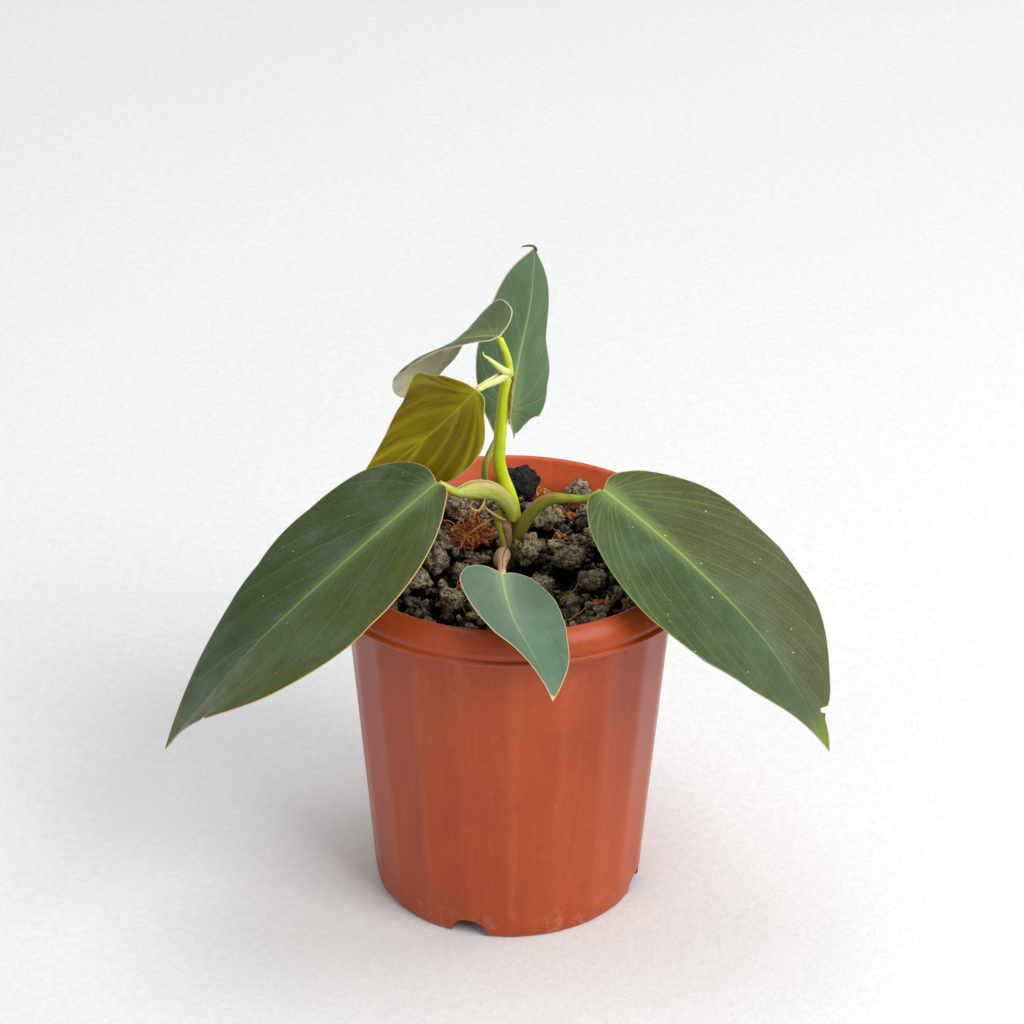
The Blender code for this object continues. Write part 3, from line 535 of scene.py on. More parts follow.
LEAVES = {
    "left": dict(node="leaf_left",
        rib=[(-22.0, -17.7, 147.5), (-50.6, -27.1, 124.2), (-78.6, -34.8, 98.3), (-104.8, -31.7, 62.1)],
        ref=(0, 0, 1), roll=[1.5, 0, -12.5], fold_r=[-0.5, 3.5, 16.5], fold_l=[-0.5, 3.5, 16],
        out_r=[(0, 0), (-.005, .042), (.016, .14), (.117, .255), (.324, .287), (.582, .228), (.831, .146), (1, 0)],
        out_l=[(0, 0), (-.014, .033), (.022, .121), (.131, .238), (.326, .320), (.592, .275), (.815, .12), (1, 0)]),
    "right": dict(node="leaf_right",
        rib=[(28.2, -10.2, 141.6), (54.8, -24.3, 123.7), (79.0, -33.4, 99.5), (96.9, -42.0, 69.3)],
        ref=(0, 0, 1), roll=[1.5, 5, -10], fold_r=[-1.5, 7, 16.5], fold_l=[-1.5, 7.5, 16],
        out_r=[(0, 0), (-.014, .055), (.027, .135), (.148, .239), (.36, .322), (.634, .29), (.843, .129), (1, 0)],
        out_l=[(0, 0), (-.017, .054), (.013, .148), (.138, .252), (.36, .298), (.634, .276), (.85, .135), (1, 0)]),
    "front": dict(node="leaf_front",
        rib=[(-2.3, -38.5, 128.5), (1.1, -56.7, 123.9), (7.5, -69.4, 117.7), (12.7, -86.8, 114.0)],
        ref=(0, 0, 1), roll=[-20.5, -17, -59], fold_r=[-0.5, 16, 11], fold_l=[-1, 16.5, 10],
        out_r=[(0, 0), (-.028, .082), (-.007, .179), (.113, .269), (.322, .272), (.569, .232), (.812, .129), (1, 0)],
        out_l=[(0, 0), (-.031, .085), (-.017, .186), (.114, .266), (.326, .29), (.577, .252), (.81, .124), (1, 0)]),
    "rear": dict(node="leaf_rear",
        rib=[(-0.4, 17.4, 153.0), (2.4, 23.8, 168.6), (5.7, 32.6, 182.8), (6.9, 41.3, 197.3)],
        ref=(0, -1, 0), roll=[30.5, 39.5, 37], fold_r=[3, -6, 0.5], fold_l=[3, -5.5, 0.5],
        out_r=[(0, 0), (-.105, .065), (-.07, .13), (.055, .237), (.31, .259), (.575, .192), (.824, .117), (1, 0)],
        out_l=[(0, 0), (-.105, .07), (-.06, .14), (.077, .233), (.321, .319), (.599, .298), (.845, .178), (1, 0)]),
    "top": dict(node="leaf_top",
        rib=[(-3.7, 5.5, 184.9), (-12.3, 10.9, 181.7), (-21.5, 17.5, 174.8), (-29.9, 24.6, 166.7),
             (-34.6, 27.4, 161.0), (-36.4, 30.5, 155.3)],
        ref=(0, 0, 1), roll=[0, 0], fold_r=[49, 7.5, -38.5, -110], fold_l=[14, 2.5, -11, -28],
        out_r=[(0, 0), (-.049, .064), (-.057, .158), (.028, .226), (.316, .194), (.637, .198), (.917, .144), (1, 0)],
        out_l=[(0, 0), (-.025, .067), (-.047, .155), (.052, .242), (.277, .275), (.535, .197), (.789, .05), (1, 0)]),
    "new": dict(node="leaf_new",
        rib=[(-10.3, -10.0, 174.7), (-21.9, 1.5, 156.0), (-34.7, 6.5, 141.7), (-48.5, 11.4, 128.4)],
        ref=(0, 0, 1), roll=[-112, -53, -32], fold_r=[17.5, 10, 5], fold_l=[15.5, 10.5, 5.5],
        out_r=[(0, 0), (-.01, .061), (.029, .14), (.135, .191), (.295, .249), (.52, .185), (.79, .116), (1, 0)],
        out_l=[(0, 0), (-.02, .035), (.044, .114), (.123, .226), (.325, .29), (.556, .225), (.804, .116), (1, 0)]),
}

blade_piece("left_blade", LEAVES["left"], M_LEAF_L, n=120, m=32, waves=(0.25, 5), veins=9, seed=0.2,
            quilt=0.10, cut={-1: [(0, 1), (.764, 1), (.770, .965), (.7747, .90), (.779, .97), (.786, 1), (1, 1)]},
            dry=[(-1, .7747, .90, 1.3)])
blade_piece("right_blade", LEAVES["right"], M_LEAF_R, n=120, m=32, waves=(0.25, 5), veins=13, seed=0.55,
            quilt=0.12, cut={-1: [(0, 1), (.862, 1), (.882, .96), (.8945, .89), (.8962, .80), (.8978, .54),
                                  (.906, .50), (.9112, .74), (.9234, .67), (.936, .70), (.965, .84), (1, 1)]},
            dry=[(-1, .9015, .52, 1.3), (-1, .915, .72, 1.5)])
blade_piece("front_blade", LEAVES["front"], M_LEAF_FRONT, n=90, m=20, waves=(0.2, 4), veins=6,
            quilt=0.08, seed=0.8)
blade_piece("rear_blade", LEAVES["rear"], M_LEAF_REAR, n=90, m=20, waves=(0.3, 4), veins=6, quilt=0.08,
            seed=0.1, cut={1: [(0, 1), (.04, 1.5), (.0616, 1.62), (.0794, 1.15), (.1353, .94), (.1822, .90),
                               (.2087, .97), (.2105, 1.07), (.25, 1.03), (.2924, 1.0), (.335, .97), (.3667, .955),
                               (.43, 1), (1, 1)],
                           -1: [(0, 1), (.04, 1.3), (.056, 1.5), (.1, 1.15), (.15, 1.0), (1, 1)]},
            dry=[(1, .209, 1.0, 0.7), (1, .99, .3, 1.2), (1, .33, .5, 0.5), (1, .20, .45, 0.45)])
blade_piece("top_blade", LEAVES["top"], M_LEAF_TOP, n=90, m=20, waves=(0.2, 4), veins=5, quilt=0.10,
            seed=0.4)
blade_piece("new_blade", LEAVES["new"], M_LEAF_NEW, n=90, m=20, waves=(0.3, 4), veins=7, quilt=0.22,
            seed=0.9, cut={1: [(0, 1), (.28, 1.0), (.33, 1.03), (.3458, 1.08), (.362, 1.045), (.42, 1.06), (.5, 1.09),
                               (.584, 1.11), (.7, 1.06), (.8, 1), (1, 1)]})


# ------------------------------------------------------------ stalk materials
def stalk_material(name, body, light, low, pink, rough=0.4):
    g = Nodes(name)
    obj = g.coords()
    s, ed, gr = g.attr("along"), g.attr("rim"), g.attr("around")
    comb = g.new("ShaderNodeCombineXYZ")
    g.link(g.m("MULTIPLY", gr, 9.0), comb.inputs[0])
    g.link(g.m("MULTIPLY", s, 3.0), comb.inputs[1])
    stripes = g.noise(comb.outputs[0], 2.2, 4.0, 0.6)
    col = g.mix(g.range(stripes, 0.35, 0.7), body, light)
    col = g.mix(g.range(g.noise(obj, 260.0, 4.0), 0.5, 0.75, 0.0, 0.35), col, low)
    col = g.mix(g.range(s, 0.28, 0.0, 0.0, 0.75), col, low)
    col = g.mix(g.m("MULTIPLY", ed, g.range(g.noise(obj, 420.0, 3.0), 0.25, 0.7, 0.45, 1.0)), col, pink)
    h = g.m("ADD", g.m("MULTIPLY", stripes, 0.8), g.m("MULTIPLY", g.noise(obj, 1400.0, 3.0), 0.3))
    ro = g.range(g.noise(obj, 300.0, 3.0), 0.3, 0.7, rough - 0.06, rough + 0.12)
    return g.out(col, ro, g.bump(h, 0.5, 0.00015), IOR=1.42)


M_STEM = stalk_material("stem", srgb(196, 216, 8), srgb(216, 232, 50), srgb(160, 186, 20), srgb(214, 210, 140), 0.34)
M_STEM_LOW = stalk_material("stem_low", srgb(112, 120, 26), srgb(146, 146, 56), srgb(70, 62, 30), srgb(150, 110, 82))
M_SHEATH_GREEN = stalk_material("sheath_green", srgb(188, 194, 40), srgb(208, 206, 96), srgb(156, 152, 36),
                                srgb(150, 110, 82))
M_PETIOLE = stalk_material("petiole", srgb(172, 188, 66), srgb(202, 212, 112), srgb(184, 204, 20), srgb(196, 166, 112))
M_PETIOLE_R = stalk_material("petiole_right", srgb(142, 154, 26), srgb(180, 186, 76), srgb(92, 108, 10),
                             srgb(184, 142, 96))
M_PETIOLE_G = stalk_material("petiole_green", srgb(146, 170, 60), srgb(172, 194, 88), srgb(128, 150, 50),
                             srgb(160, 168, 90))
M_PETIOLE_TOP = stalk_material("petiole_top", srgb(186, 204, 20), srgb(206, 216, 70), srgb(168, 188, 20),
                               srgb(206, 200, 110))
M_PALE = stalk_material("petiole_pale", srgb(206, 216, 116), srgb(228, 232, 166), srgb(190, 204, 80),
                        srgb(226, 216, 166))
M_SHEATH = stalk_material("sheath", srgb(168, 136, 100), srgb(198, 168, 130), srgb(120, 88, 62), srgb(200, 170, 132),
                          0.6)
M_BUD = stalk_material("bud", srgb(186, 140, 104), srgb(222, 194, 162), srgb(136, 94, 64), srgb(216, 190, 164), 0.45)
M_ROOT = stalk_material("root", srgb(190, 156, 92), srgb(212, 180, 120), srgb(140, 104, 56), srgb(190, 160, 110), 0.7)
M_DRY = stalk_material("dry_tip", srgb(96, 76, 48), srgb(128, 104, 70), srgb(60, 44, 26), srgb(120, 96, 64), 0.7)


def stalk(name, pts, ra, rb, mat, nodes=(), rings=60, sides=28, up=(0, 0, 1), wall=None, lip=None, twist=None,
          knobs=0.0, seed=0.0, cap_round=0.35, rim_colour=0.0):
    """A stalk.  ra and rb are half-widths across and towards up at the points.
    wall and lip make a channel: wall is its thickness as a share of the
    radius (1 = solid), lip the elevation in degrees of the channel's edges."""
    t = np.linspace(0, 1, rings)
    pts = np.asarray(pts, float)
    c = spline(pts, t)
    tg = unit(spline(pts, np.minimum(t + 0.01, 1)) - spline(pts, np.maximum(t - 0.01, 0)))
    d = np.r_[0, np.cumsum(np.linalg.norm(np.diff(pts, axis=0), axis=1))]
    d /= d[-1]

    def at(v, default):
        if v is None:
            return np.full(rings, float(default))
        col = np.stack([np.asarray(v, float), np.zeros(len(v))], 1)
        x = np.linspace(0, 1, len(v)) if len(v) != len(pts) else d
        # smooth reading of the station values
        y = np.interp(t, x, col[:, 0])
        kk = np.ones(5) / 5
        return np.convolve(np.r_[[y[0]] * 2, y, [y[-1]] * 2], kk, "valid")

    A, Bv = at(ra, 1), at(rb if rb is not None else ra, 1)
    W, LP, TW = at(wall, 1.0), at(lip, 88.0), at(twist, 0.0)
    # rounded ends
    seglen = np.linalg.norm(np.diff(c, axis=0), axis=1).sum()
    for e, x in ((0, t * seglen), (1, (1 - t) * seglen)):
        rr = np.minimum(A, Bv)[0 if e == 0 else -1] * cap_round * 2
        if rr > 0:
            fall = np.sqrt(np.clip(1 - (1 - np.clip(x / rr, 0, 1)) ** 2, 0.02, 1))
            A, Bv = A * fall, Bv * fall
    verts, along, rim, around = [], [], [], []
    half = sides // 2
    prev = None
    for i in range(rings):
        u = np.asarray(up, float)
        s = unit(np.cross(tg[i], u))
        if prev is not None and np.dot(s, prev) < 0.2:
            s = unit(np.cross(tg[i], np.cross(prev, tg[i])))
        prev = s
        nn = np.cross(s, tg[i])
        tw = rad(TW[i])
        s, nn = s * cos(tw) + nn * sin(tw), -s * sin(tw) + nn * cos(tw)
        lp = rad(LP[i])
        ring = []
        for j in range(half):           # outer arc, right edge to left edge under the stalk
            an = lp - (pi + 2 * lp) * j / (half - 1)
            ring.append((A[i] * cos(an), Bv[i] * sin(an), 0.0, j / (half - 1)))
        for j in range(half):           # inner arc, back again
            an = (-pi - lp) + (pi + 2 * lp) * (j + 0.5) / half
            k = 1 - W[i]
            ring.append((A[i] * k * cos(an) * 0.98, Bv[i] * (k * sin(an) + W[i] * 0.12), 1.0, 1 - j / (half - 1)))
        for x, y, inner, ar in ring:
            kn = 1 + knobs * nz(t[i] * 22 + seed, ar * 6.0, seed * 3.0)
            verts.append(c[i] + s * x * kn + nn * y * kn)
            along.append(t[i])
            edge_near = smooth(0.27, 0.04, min(ar, 1 - ar)) * smooth(0.85, 0.5, W[i])
            rim.append(min(1.0, edge_near + rim_colour))
            around.append(ar)
    faces = []
    n = half * 2
    for i in range(rings - 1):
        for j in range(n):
            k = (j + 1) % n
            faces.append((i * n + j, (i + 1) * n + j, (i + 1) * n + k, i * n + k))
    faces.append(tuple(range(n)))
    faces.append(tuple((rings - 1) * n + j for j in range(n))[::-1])
    ob = put(name, verts, faces, mat, nodes, dict(along=along, rim=rim, around=around))
    me = ob.data
    import bmesh
    bm = bmesh.new()
    bm.from_mesh(me)
    bmesh.ops.recalc_face_normals(bm, faces=bm.faces)
    bm.to_mesh(me)
    bm.free()
    me.shade_smooth()
    return ob


LOWER_STEM = [(-1.0, 8.0, 103.0), (-1.0, 8.0, 109.6), (-0.7, 7.8, 113.9), (0.0, 7.4, 119.1), (0.9, 7.0, 124.0)]
MAIN_STEM = [(1.3, 6.9, 121.5), (0.8, 6.6, 126.5), (-0.7, 6.2, 132.3), (-2.4, 5.8, 137.0), (-3.5, 5.3, 142.4),
             (-3.2, 4.8, 150.3), (-2.5, 4.4, 160.0), (-1.9, 4.2, 166.9), (-0.9, 4.2, 172.9)]
stalk("stem_base", LOWER_STEM, [2.6, 2.4, 2.2, 2.2, 2.4], None, M_STEM_LOW, ("lower_stem",), up=(0, 1, 0),
      knobs=0.07, seed=2.0)
stalk("stem_upper", MAIN_STEM, [2.2, 2.15, 2.1, 2.1, 2.0, 1.95, 1.85, 1.8, 2.0], None, M_STEM,
      ("main_stem",), rings=90, up=(0, 1, 0), knobs=0.03, seed=4.0)
stalk("left_stalk", [(1.2, 3.6, 123.0), (0.2, 2.6, 127.6), (-2.0, 0.6, 132.4), (-5.2, -2.6, 136.6),
                     (-8.6, -5.9, 139.0), (-11.9, -9.0, 140.6), (-16.2, -13.0, 142.0), (-19.2, -16.0, 145.3),
                     (-21.3, -17.3, 147.2)],
      [1.5, 1.8, 2.0, 2.1, 2.2, 2.1, 1.2, 1.12, 1.2], [1.6, 2.1, 2.6, 2.9, 3.2, 3.0, 1.25, 1.15, 1.2], M_PETIOLE,
      ("petiole_left",), rings=130, sides=36, wall=[0.6, 0.45, 0.36, 0.32, 0.34, 0.42, 0.9, 0.95, 1.0],
      lip=[60, 62, 66, 68, 70, 74, 80, 82, 84], twist=[24, 20, 16, 10, 6, 2, 0, 0, 0], knobs=0.05, seed=6.0)
stalk("right_stalk", [(2.0, 4.6, 115.5), (2.9, 3.4, 118.8), (4.1, 2.2, 123.0), (5.9, 0.9, 127.2),
                      (8.4, -0.8, 131.0), (11.9, -3.0, 134.3), (17.2, -6.5, 136.5), (22.8, -9.0, 137.9),
                      (27.6, -10.3, 141.0)],
      [1.3, 1.5, 1.6, 1.65, 1.65, 1.5, 1.2, 1.1, 1.2], [1.4, 1.9, 2.2, 2.3, 2.3, 2.1, 1.35, 1.15, 1.2], M_PETIOLE_R,
      ("petiole_right",), rings=120, sides=36, wall=[0.6, 0.45, 0.38, 0.34, 0.34, 0.42, 0.9, 0.95, 1.0],
      lip=[50, 48, 46, 46, 50, 62, 78, 82, 84], twist=[-22, -20, -16, -10, -4, 0, 0, 0, 0], knobs=0.05, seed=8.0)
stalk("front_stalk", [(-1.2, 5.2, 109.6), (-2.0, 1.6, 112.0), (-2.5, -4.0, 114.4), (-2.6, -10.0, 116.7),
                      (-2.4, -19.0, 120.8), (-2.3, -38.3, 128.3)],
      [1.6, 2.3, 2.55, 2.1, 1.4, 1.15], [1.7, 2.8, 3.1, 2.5, 1.5, 1.15], M_BUD, ("petiole_front",),
      rings=90, sides=36, wall=[0.95, 0.95, 0.95, 0.95, 0.97, 1.0], lip=[84, 86, 86, 86, 86, 86],
      twist=[20, 22, 24, 20, 8, 0], knobs=0.06, seed=10.0, rim_colour=0.1)
stalk("front_sheath", [(-3.9, 4.2, 126.2), (-3.2, 4.2, 122.4), (-2.1, 4.6, 117.4), (-1.5, 5.2, 111.4)],
      [1.6, 1.75, 1.45, 1.0], [1.2, 1.2, 1.1, 0.9], M_SHEATH_GREEN, (), rings=50, up=(0, 1, 0),
      knobs=0.08, seed=30.0)
stalk("dry_leaf_tip", [(7.2, 41.3, 195.6), (7.4, 41.0, 197.0), (6.6, 40.6, 198.1), (4.7, 40.5, 198.3),
                       (2.9, 40.6, 197.9)],
      [0.35, 0.42, 0.45, 0.4, 0.15], [0.22, 0.2, 0.18, 0.16, 0.1], M_DRY, (), rings=40, sides=14,
      up=(0, 1, 0.2), knobs=0.25, seed=32.0)
stalk("rear_stalk", [(-1.2, 8.6, 123.4), (-3.4, 9.2, 126.6), (-5.8, 9.4, 129.0), (-7.6, 10.2, 132.9),
                     (-7.9, 11.2, 137.1), (-6.8, 12.8, 140.6), (-5.2, 14.5, 143.6), (-3.2, 17.2, 147.2),
                     (-1.5, 18.6, 150.5), (-0.5, 17.9, 152.8)],
      [1.1, 1.05, 1.05, 1.0, 0.95, 0.9, 0.85, 0.8, 0.85, 0.9], None, M_PETIOLE_G, ("petiole_rear",),
      rings=80, up=(0, 1, 0), wall=[0.9] * 10, lip=[78] * 10, knobs=0.03, seed=12.0)
stalk("top_stalk", [(-0.6, 4.2, 171.6), (-0.6, 4.3, 175.0), (-1.0, 4.1, 178.3), (-2.0, 4.3, 181.3),
                    (-3.6, 5.3, 184.7)],
      [1.5, 1.25, 1.1, 1.05, 1.05], None, M_PETIOLE_TOP, ("petiole_top",), rings=50, up=(0, 1, 0),
      wall=[0.95] * 5, lip=[80] * 5, knobs=0.03, seed=14.0)
stalk("new_stalk", [(-0.9, 3.6, 173.2), (-2.8, 1.2, 173.7), (-5.0, -2.4, 174.1), (-7.4, -5.9, 174.6),
                    (-10.1, -9.7, 174.7)],
      [1.3, 1.25, 1.1, 1.0, 0.95], [2.2, 2.0, 1.6, 1.3, 1.0], M_PALE, ("petiole_new",), rings=50,
      wall=[0.5, 0.5, 0.6, 0.8, 0.95], lip=[30, 34, 50, 66, 78], knobs=0.03, seed=16.0)
stalk("spur", [(-0.7, 3.4, 174.0), (-1.9, 1.4, 175.4), (-3.6, 0.2, 177.3), (-5.2, -0.6, 179.2), (-7.0, -1.4, 181.2),
               (-8.0, -1.9, 182.2), (-8.4, -2.0, 183.6)],
      [1.3, 1.15, 1.0, 0.75, 0.45, 0.3, 0.12], None, M_PALE, ("cataphyll",), rings=50,
      knobs=0.05, seed=18.0)
stalk("dry_scale_strip", [(0.9, 3.6, 172.8), (0.35, 3.4, 167.5), (-0.05, 3.4, 162.0), (-0.5, 3.7, 156.0)],
      [0.45, 0.55, 0.5, 0.2], [1.1, 1.3, 1.1, 0.3], M_SHEATH, ("dry_scale",), rings=40, up=(0, 1, 0),
      knobs=0.16, seed=20.0)
stalk("stem_scale", [(-1.7, 3.4, 124.8), (-1.1, 3.3, 121.4), (-0.4, 3.7, 117.2), (-0.1, 4.6, 112.2)],
      [1.2, 1.5, 1.2, 0.5], [0.45, 0.6, 0.5, 0.3], M_SHEATH, ("stem_sheath",), rings=40, up=(0, 1, 0),
      knobs=0.14, seed=22.0)
stalk("rootlet_loop", [(-7.6, -6.4, 136.2), (-8.4, -8.2, 134.6), (-9.4, -9.0, 133.6), (-11.2, -9.8, 134.2),
                       (-12.0, -10.4, 136.2), (-11.0, -10.2, 137.2)],
      [0.42, 0.42, 0.38, 0.36, 0.3, 0.16], None, M_ROOT, ("aerial_root_loop",), rings=60, sides=12,
      up=(0.2, 1, 0.1), knobs=0.15, seed=24.0)
stalk("rootlet_long", [(-8.6, -5.4, 134.8), (-7.4, -4.8, 132.0), (-5.6, -3.4, 129.6), (-3.6, -0.6, 126.6),
                       (-1.6, 2.6, 123.8)],
      [0.36, 0.45, 0.48, 0.5, 0.6], None, M_ROOT, ("aerial_root_long",), rings=60, sides=12,
      up=(0.2, 1, 0.1), knobs=0.15, seed=26.0)
stalk("dry_twig", [(-13.6, 3.0, 117.6), (-9.2, 3.8, 121.0), (-6.7, 4.4, 122.4), (-2.6, 5.8, 124.2)],
      [0.2, 0.3, 0.36, 0.36], None, M_ROOT, ("twig",), rings=50, sides=12, up=(0.2, 1, 0.1), knobs=0.2,
      seed=28.0)


# ------------------------------------------------------------------------ pot
POT_HEIGHT, LIP_RADIUS, WALL_TOP_R, WALL_TOP_Z, FLOOR_T = 118.2, 60.1, 51.3, 108.5, 1.8
FACETS, FACET_OFFSET = 20, 1.5
NOTCH_W, NOTCH_H, NOTCH_FIRST = 12.0, 5.5, -16.5


def inner_radius(z):
    return 40.2 + (z - FLOOR_T) * (49.9 - 40.2) / (WALL_TOP_Z - FLOOR_T)


def pot_material():
    g = Nodes("terracotta_plastic")
    obj = g.coords()
    fine = g.noise(g.coords((1.0, 1.0, 0.02)), 520.0, 4.0, 0.65)      # drawing lines down the wall
    wide = g.noise(g.coords((1.0, 1.0, 0.04)), 95.0, 3.0, 0.5)
    cloud = g.noise(obj, 24.0, 4.0, 0.55)
    grain = g.noise(obj, 1500.0, 3.0, 0.6)
    sep = g.new("ShaderNodeSeparateXYZ")
    g.link(obj, sep.inputs[0])
    x, y, z = sep.outputs[0], sep.outputs[1], sep.outputs[2]
    turn = g.m("MULTIPLY", g.m("ARCTAN2", y, x), 180.0 / pi / 18.0)   # angle counted in facets
    turn = g.m("ADD", turn, (90.0 - FACET_OFFSET) / 18.0 + 20.0)
    own = g.new("ShaderNodeTexWhiteNoise", noise_dimensions="1D")
    g.link(g.m("FLOOR", turn), own.inputs["W"])
    near_corner = g.m("ABSOLUTE", g.m("SUBTRACT", g.m("FRACT", g.m("ADD", turn, 0.5)), 0.5))
    wall = g.m("MULTIPLY", g.range(z, 0.004, 0.012), g.range(z, 0.1085, 0.106))
    col = g.mix(g.range(cloud, 0.3, 0.7), srgb(166, 66, 27), srgb(178, 75, 34))
    # painted shade: each facet darkened by its own random amount, for facets turned differently to the light
    col = g.mix(g.m("MULTIPLY", g.m("MULTIPLY", own.outputs["Value"], wall), 0.16), col, srgb(150, 60, 26))
    col = g.mix(g.range(fine, 0.35, 0.75, 0.0, 0.13), col, srgb(204, 102, 62))
    col = g.mix(g.range(wide, 0.45, 0.72, 0.0, 0.25), col, srgb(150, 56, 24))
    # painted highlight: thin paler lines down the facet corners
    corner = g.m("MULTIPLY", g.range(near_corner, 0.20, 0.0), g.m("MULTIPLY", wall, g.range(wide, 0.35, 0.6, 0.25, 1.0)))
    col = g.mix(g.m("MULTIPLY", corner, 0.11), col, srgb(222, 130, 92))
    radius = g.m("SQRT", g.m("ADD", g.m("MULTIPLY", x, x), g.m("MULTIPLY", y, y)))
    # painted light: the inner wall of the rim, mostly at the back, is made paler where the light falls on it
    painted_backrim_light = g.m("MULTIPLY", g.m("MULTIPLY", g.range(radius, 0.0560, 0.0538), g.range(z, 0.098, 0.106)),
                 g.range(y, -0.020, 0.030))
    col = g.mix(g.m("MULTIPLY", painted_backrim_light, 0.7), col, srgb(232, 104, 66))
    blot = g.noise(obj, 330.0, 5.0, 0.7)
    col = g.mix(g.range(blot, 0.50, 0.70, 0.0, 0.22), col, srgb(150, 58, 24))
    col = g.mix(g.range(blot, 0.44, 0.26, 0.0, 0.20), col, srgb(216, 118, 80))
    # chalky dust and rub marks: under the bead, along the foot and in thin scratches
    dn = g.noise(g.coords((1, 1, 0.6)), 150.0, 6.0, 0.7)
    foot = g.m("MULTIPLY", g.range(z, 0.012, 0.001), g.range(dn, 0.50, 0.68))
    under = g.m("MULTIPLY", g.m("MULTIPLY", g.range(z, 0.088, 0.104), g.range(z, 0.1095, 0.108)),
                g.range(dn, 0.55, 0.74, 0.0, 0.6))
    scr = g.m("MULTIPLY", g.range(g.noise(g.coords((1, 1, 0.16)), 560.0, 6.0, 0.8, 0.4), 0.60, 0.72), 0.7)
    dust = g.m("ADD", g.m("ADD", g.m("MULTIPLY", foot, 0.8), under), g.m("MULTIPLY", scr, g.range(dn, 0.42, 0.68)),
               clamp=True)
    col = g.mix(g.m("MULTIPLY", dust, 0.55), col, srgb(226, 170, 144))
    pit = g.m("MULTIPLY", g.range(g.voronoi(obj, 210.0), 0.075, 0.03), g.range(cloud, 0.5, 0.62))
    col = g.mix(g.m("MULTIPLY", pit, 0.8), col, srgb(70, 30, 16))
    ro = g.m("ADD", g.range(cloud, 0.3, 0.7, 0.30, 0.42), g.m("MULTIPLY", dust, 0.35))
    h = g.m("ADD", g.m("MULTIPLY", fine, 0.8), g.m("MULTIPLY", grain, 0.35))
    mat = g.out(col, ro, g.bump(h, 0.20, 0.00025), IOR=1.46)
    g.b.inputs["Specular IOR Level"].default_value = 0.36
    return mat


M_POT = pot_material()


def facet_radius(r, deg):
    step = 360.0 / FACETS
    a = (deg - FACET_OFFSET) % step - step / 2
    k = cos(rad(step / 2)) / cos(rad(a))
    # the corners are a little rounded
    soft = 1 - 0.0022 * smooth(step / 2 - 2.4, step / 2, abs(a)) ** 1.5
    return r * k * float(soft)


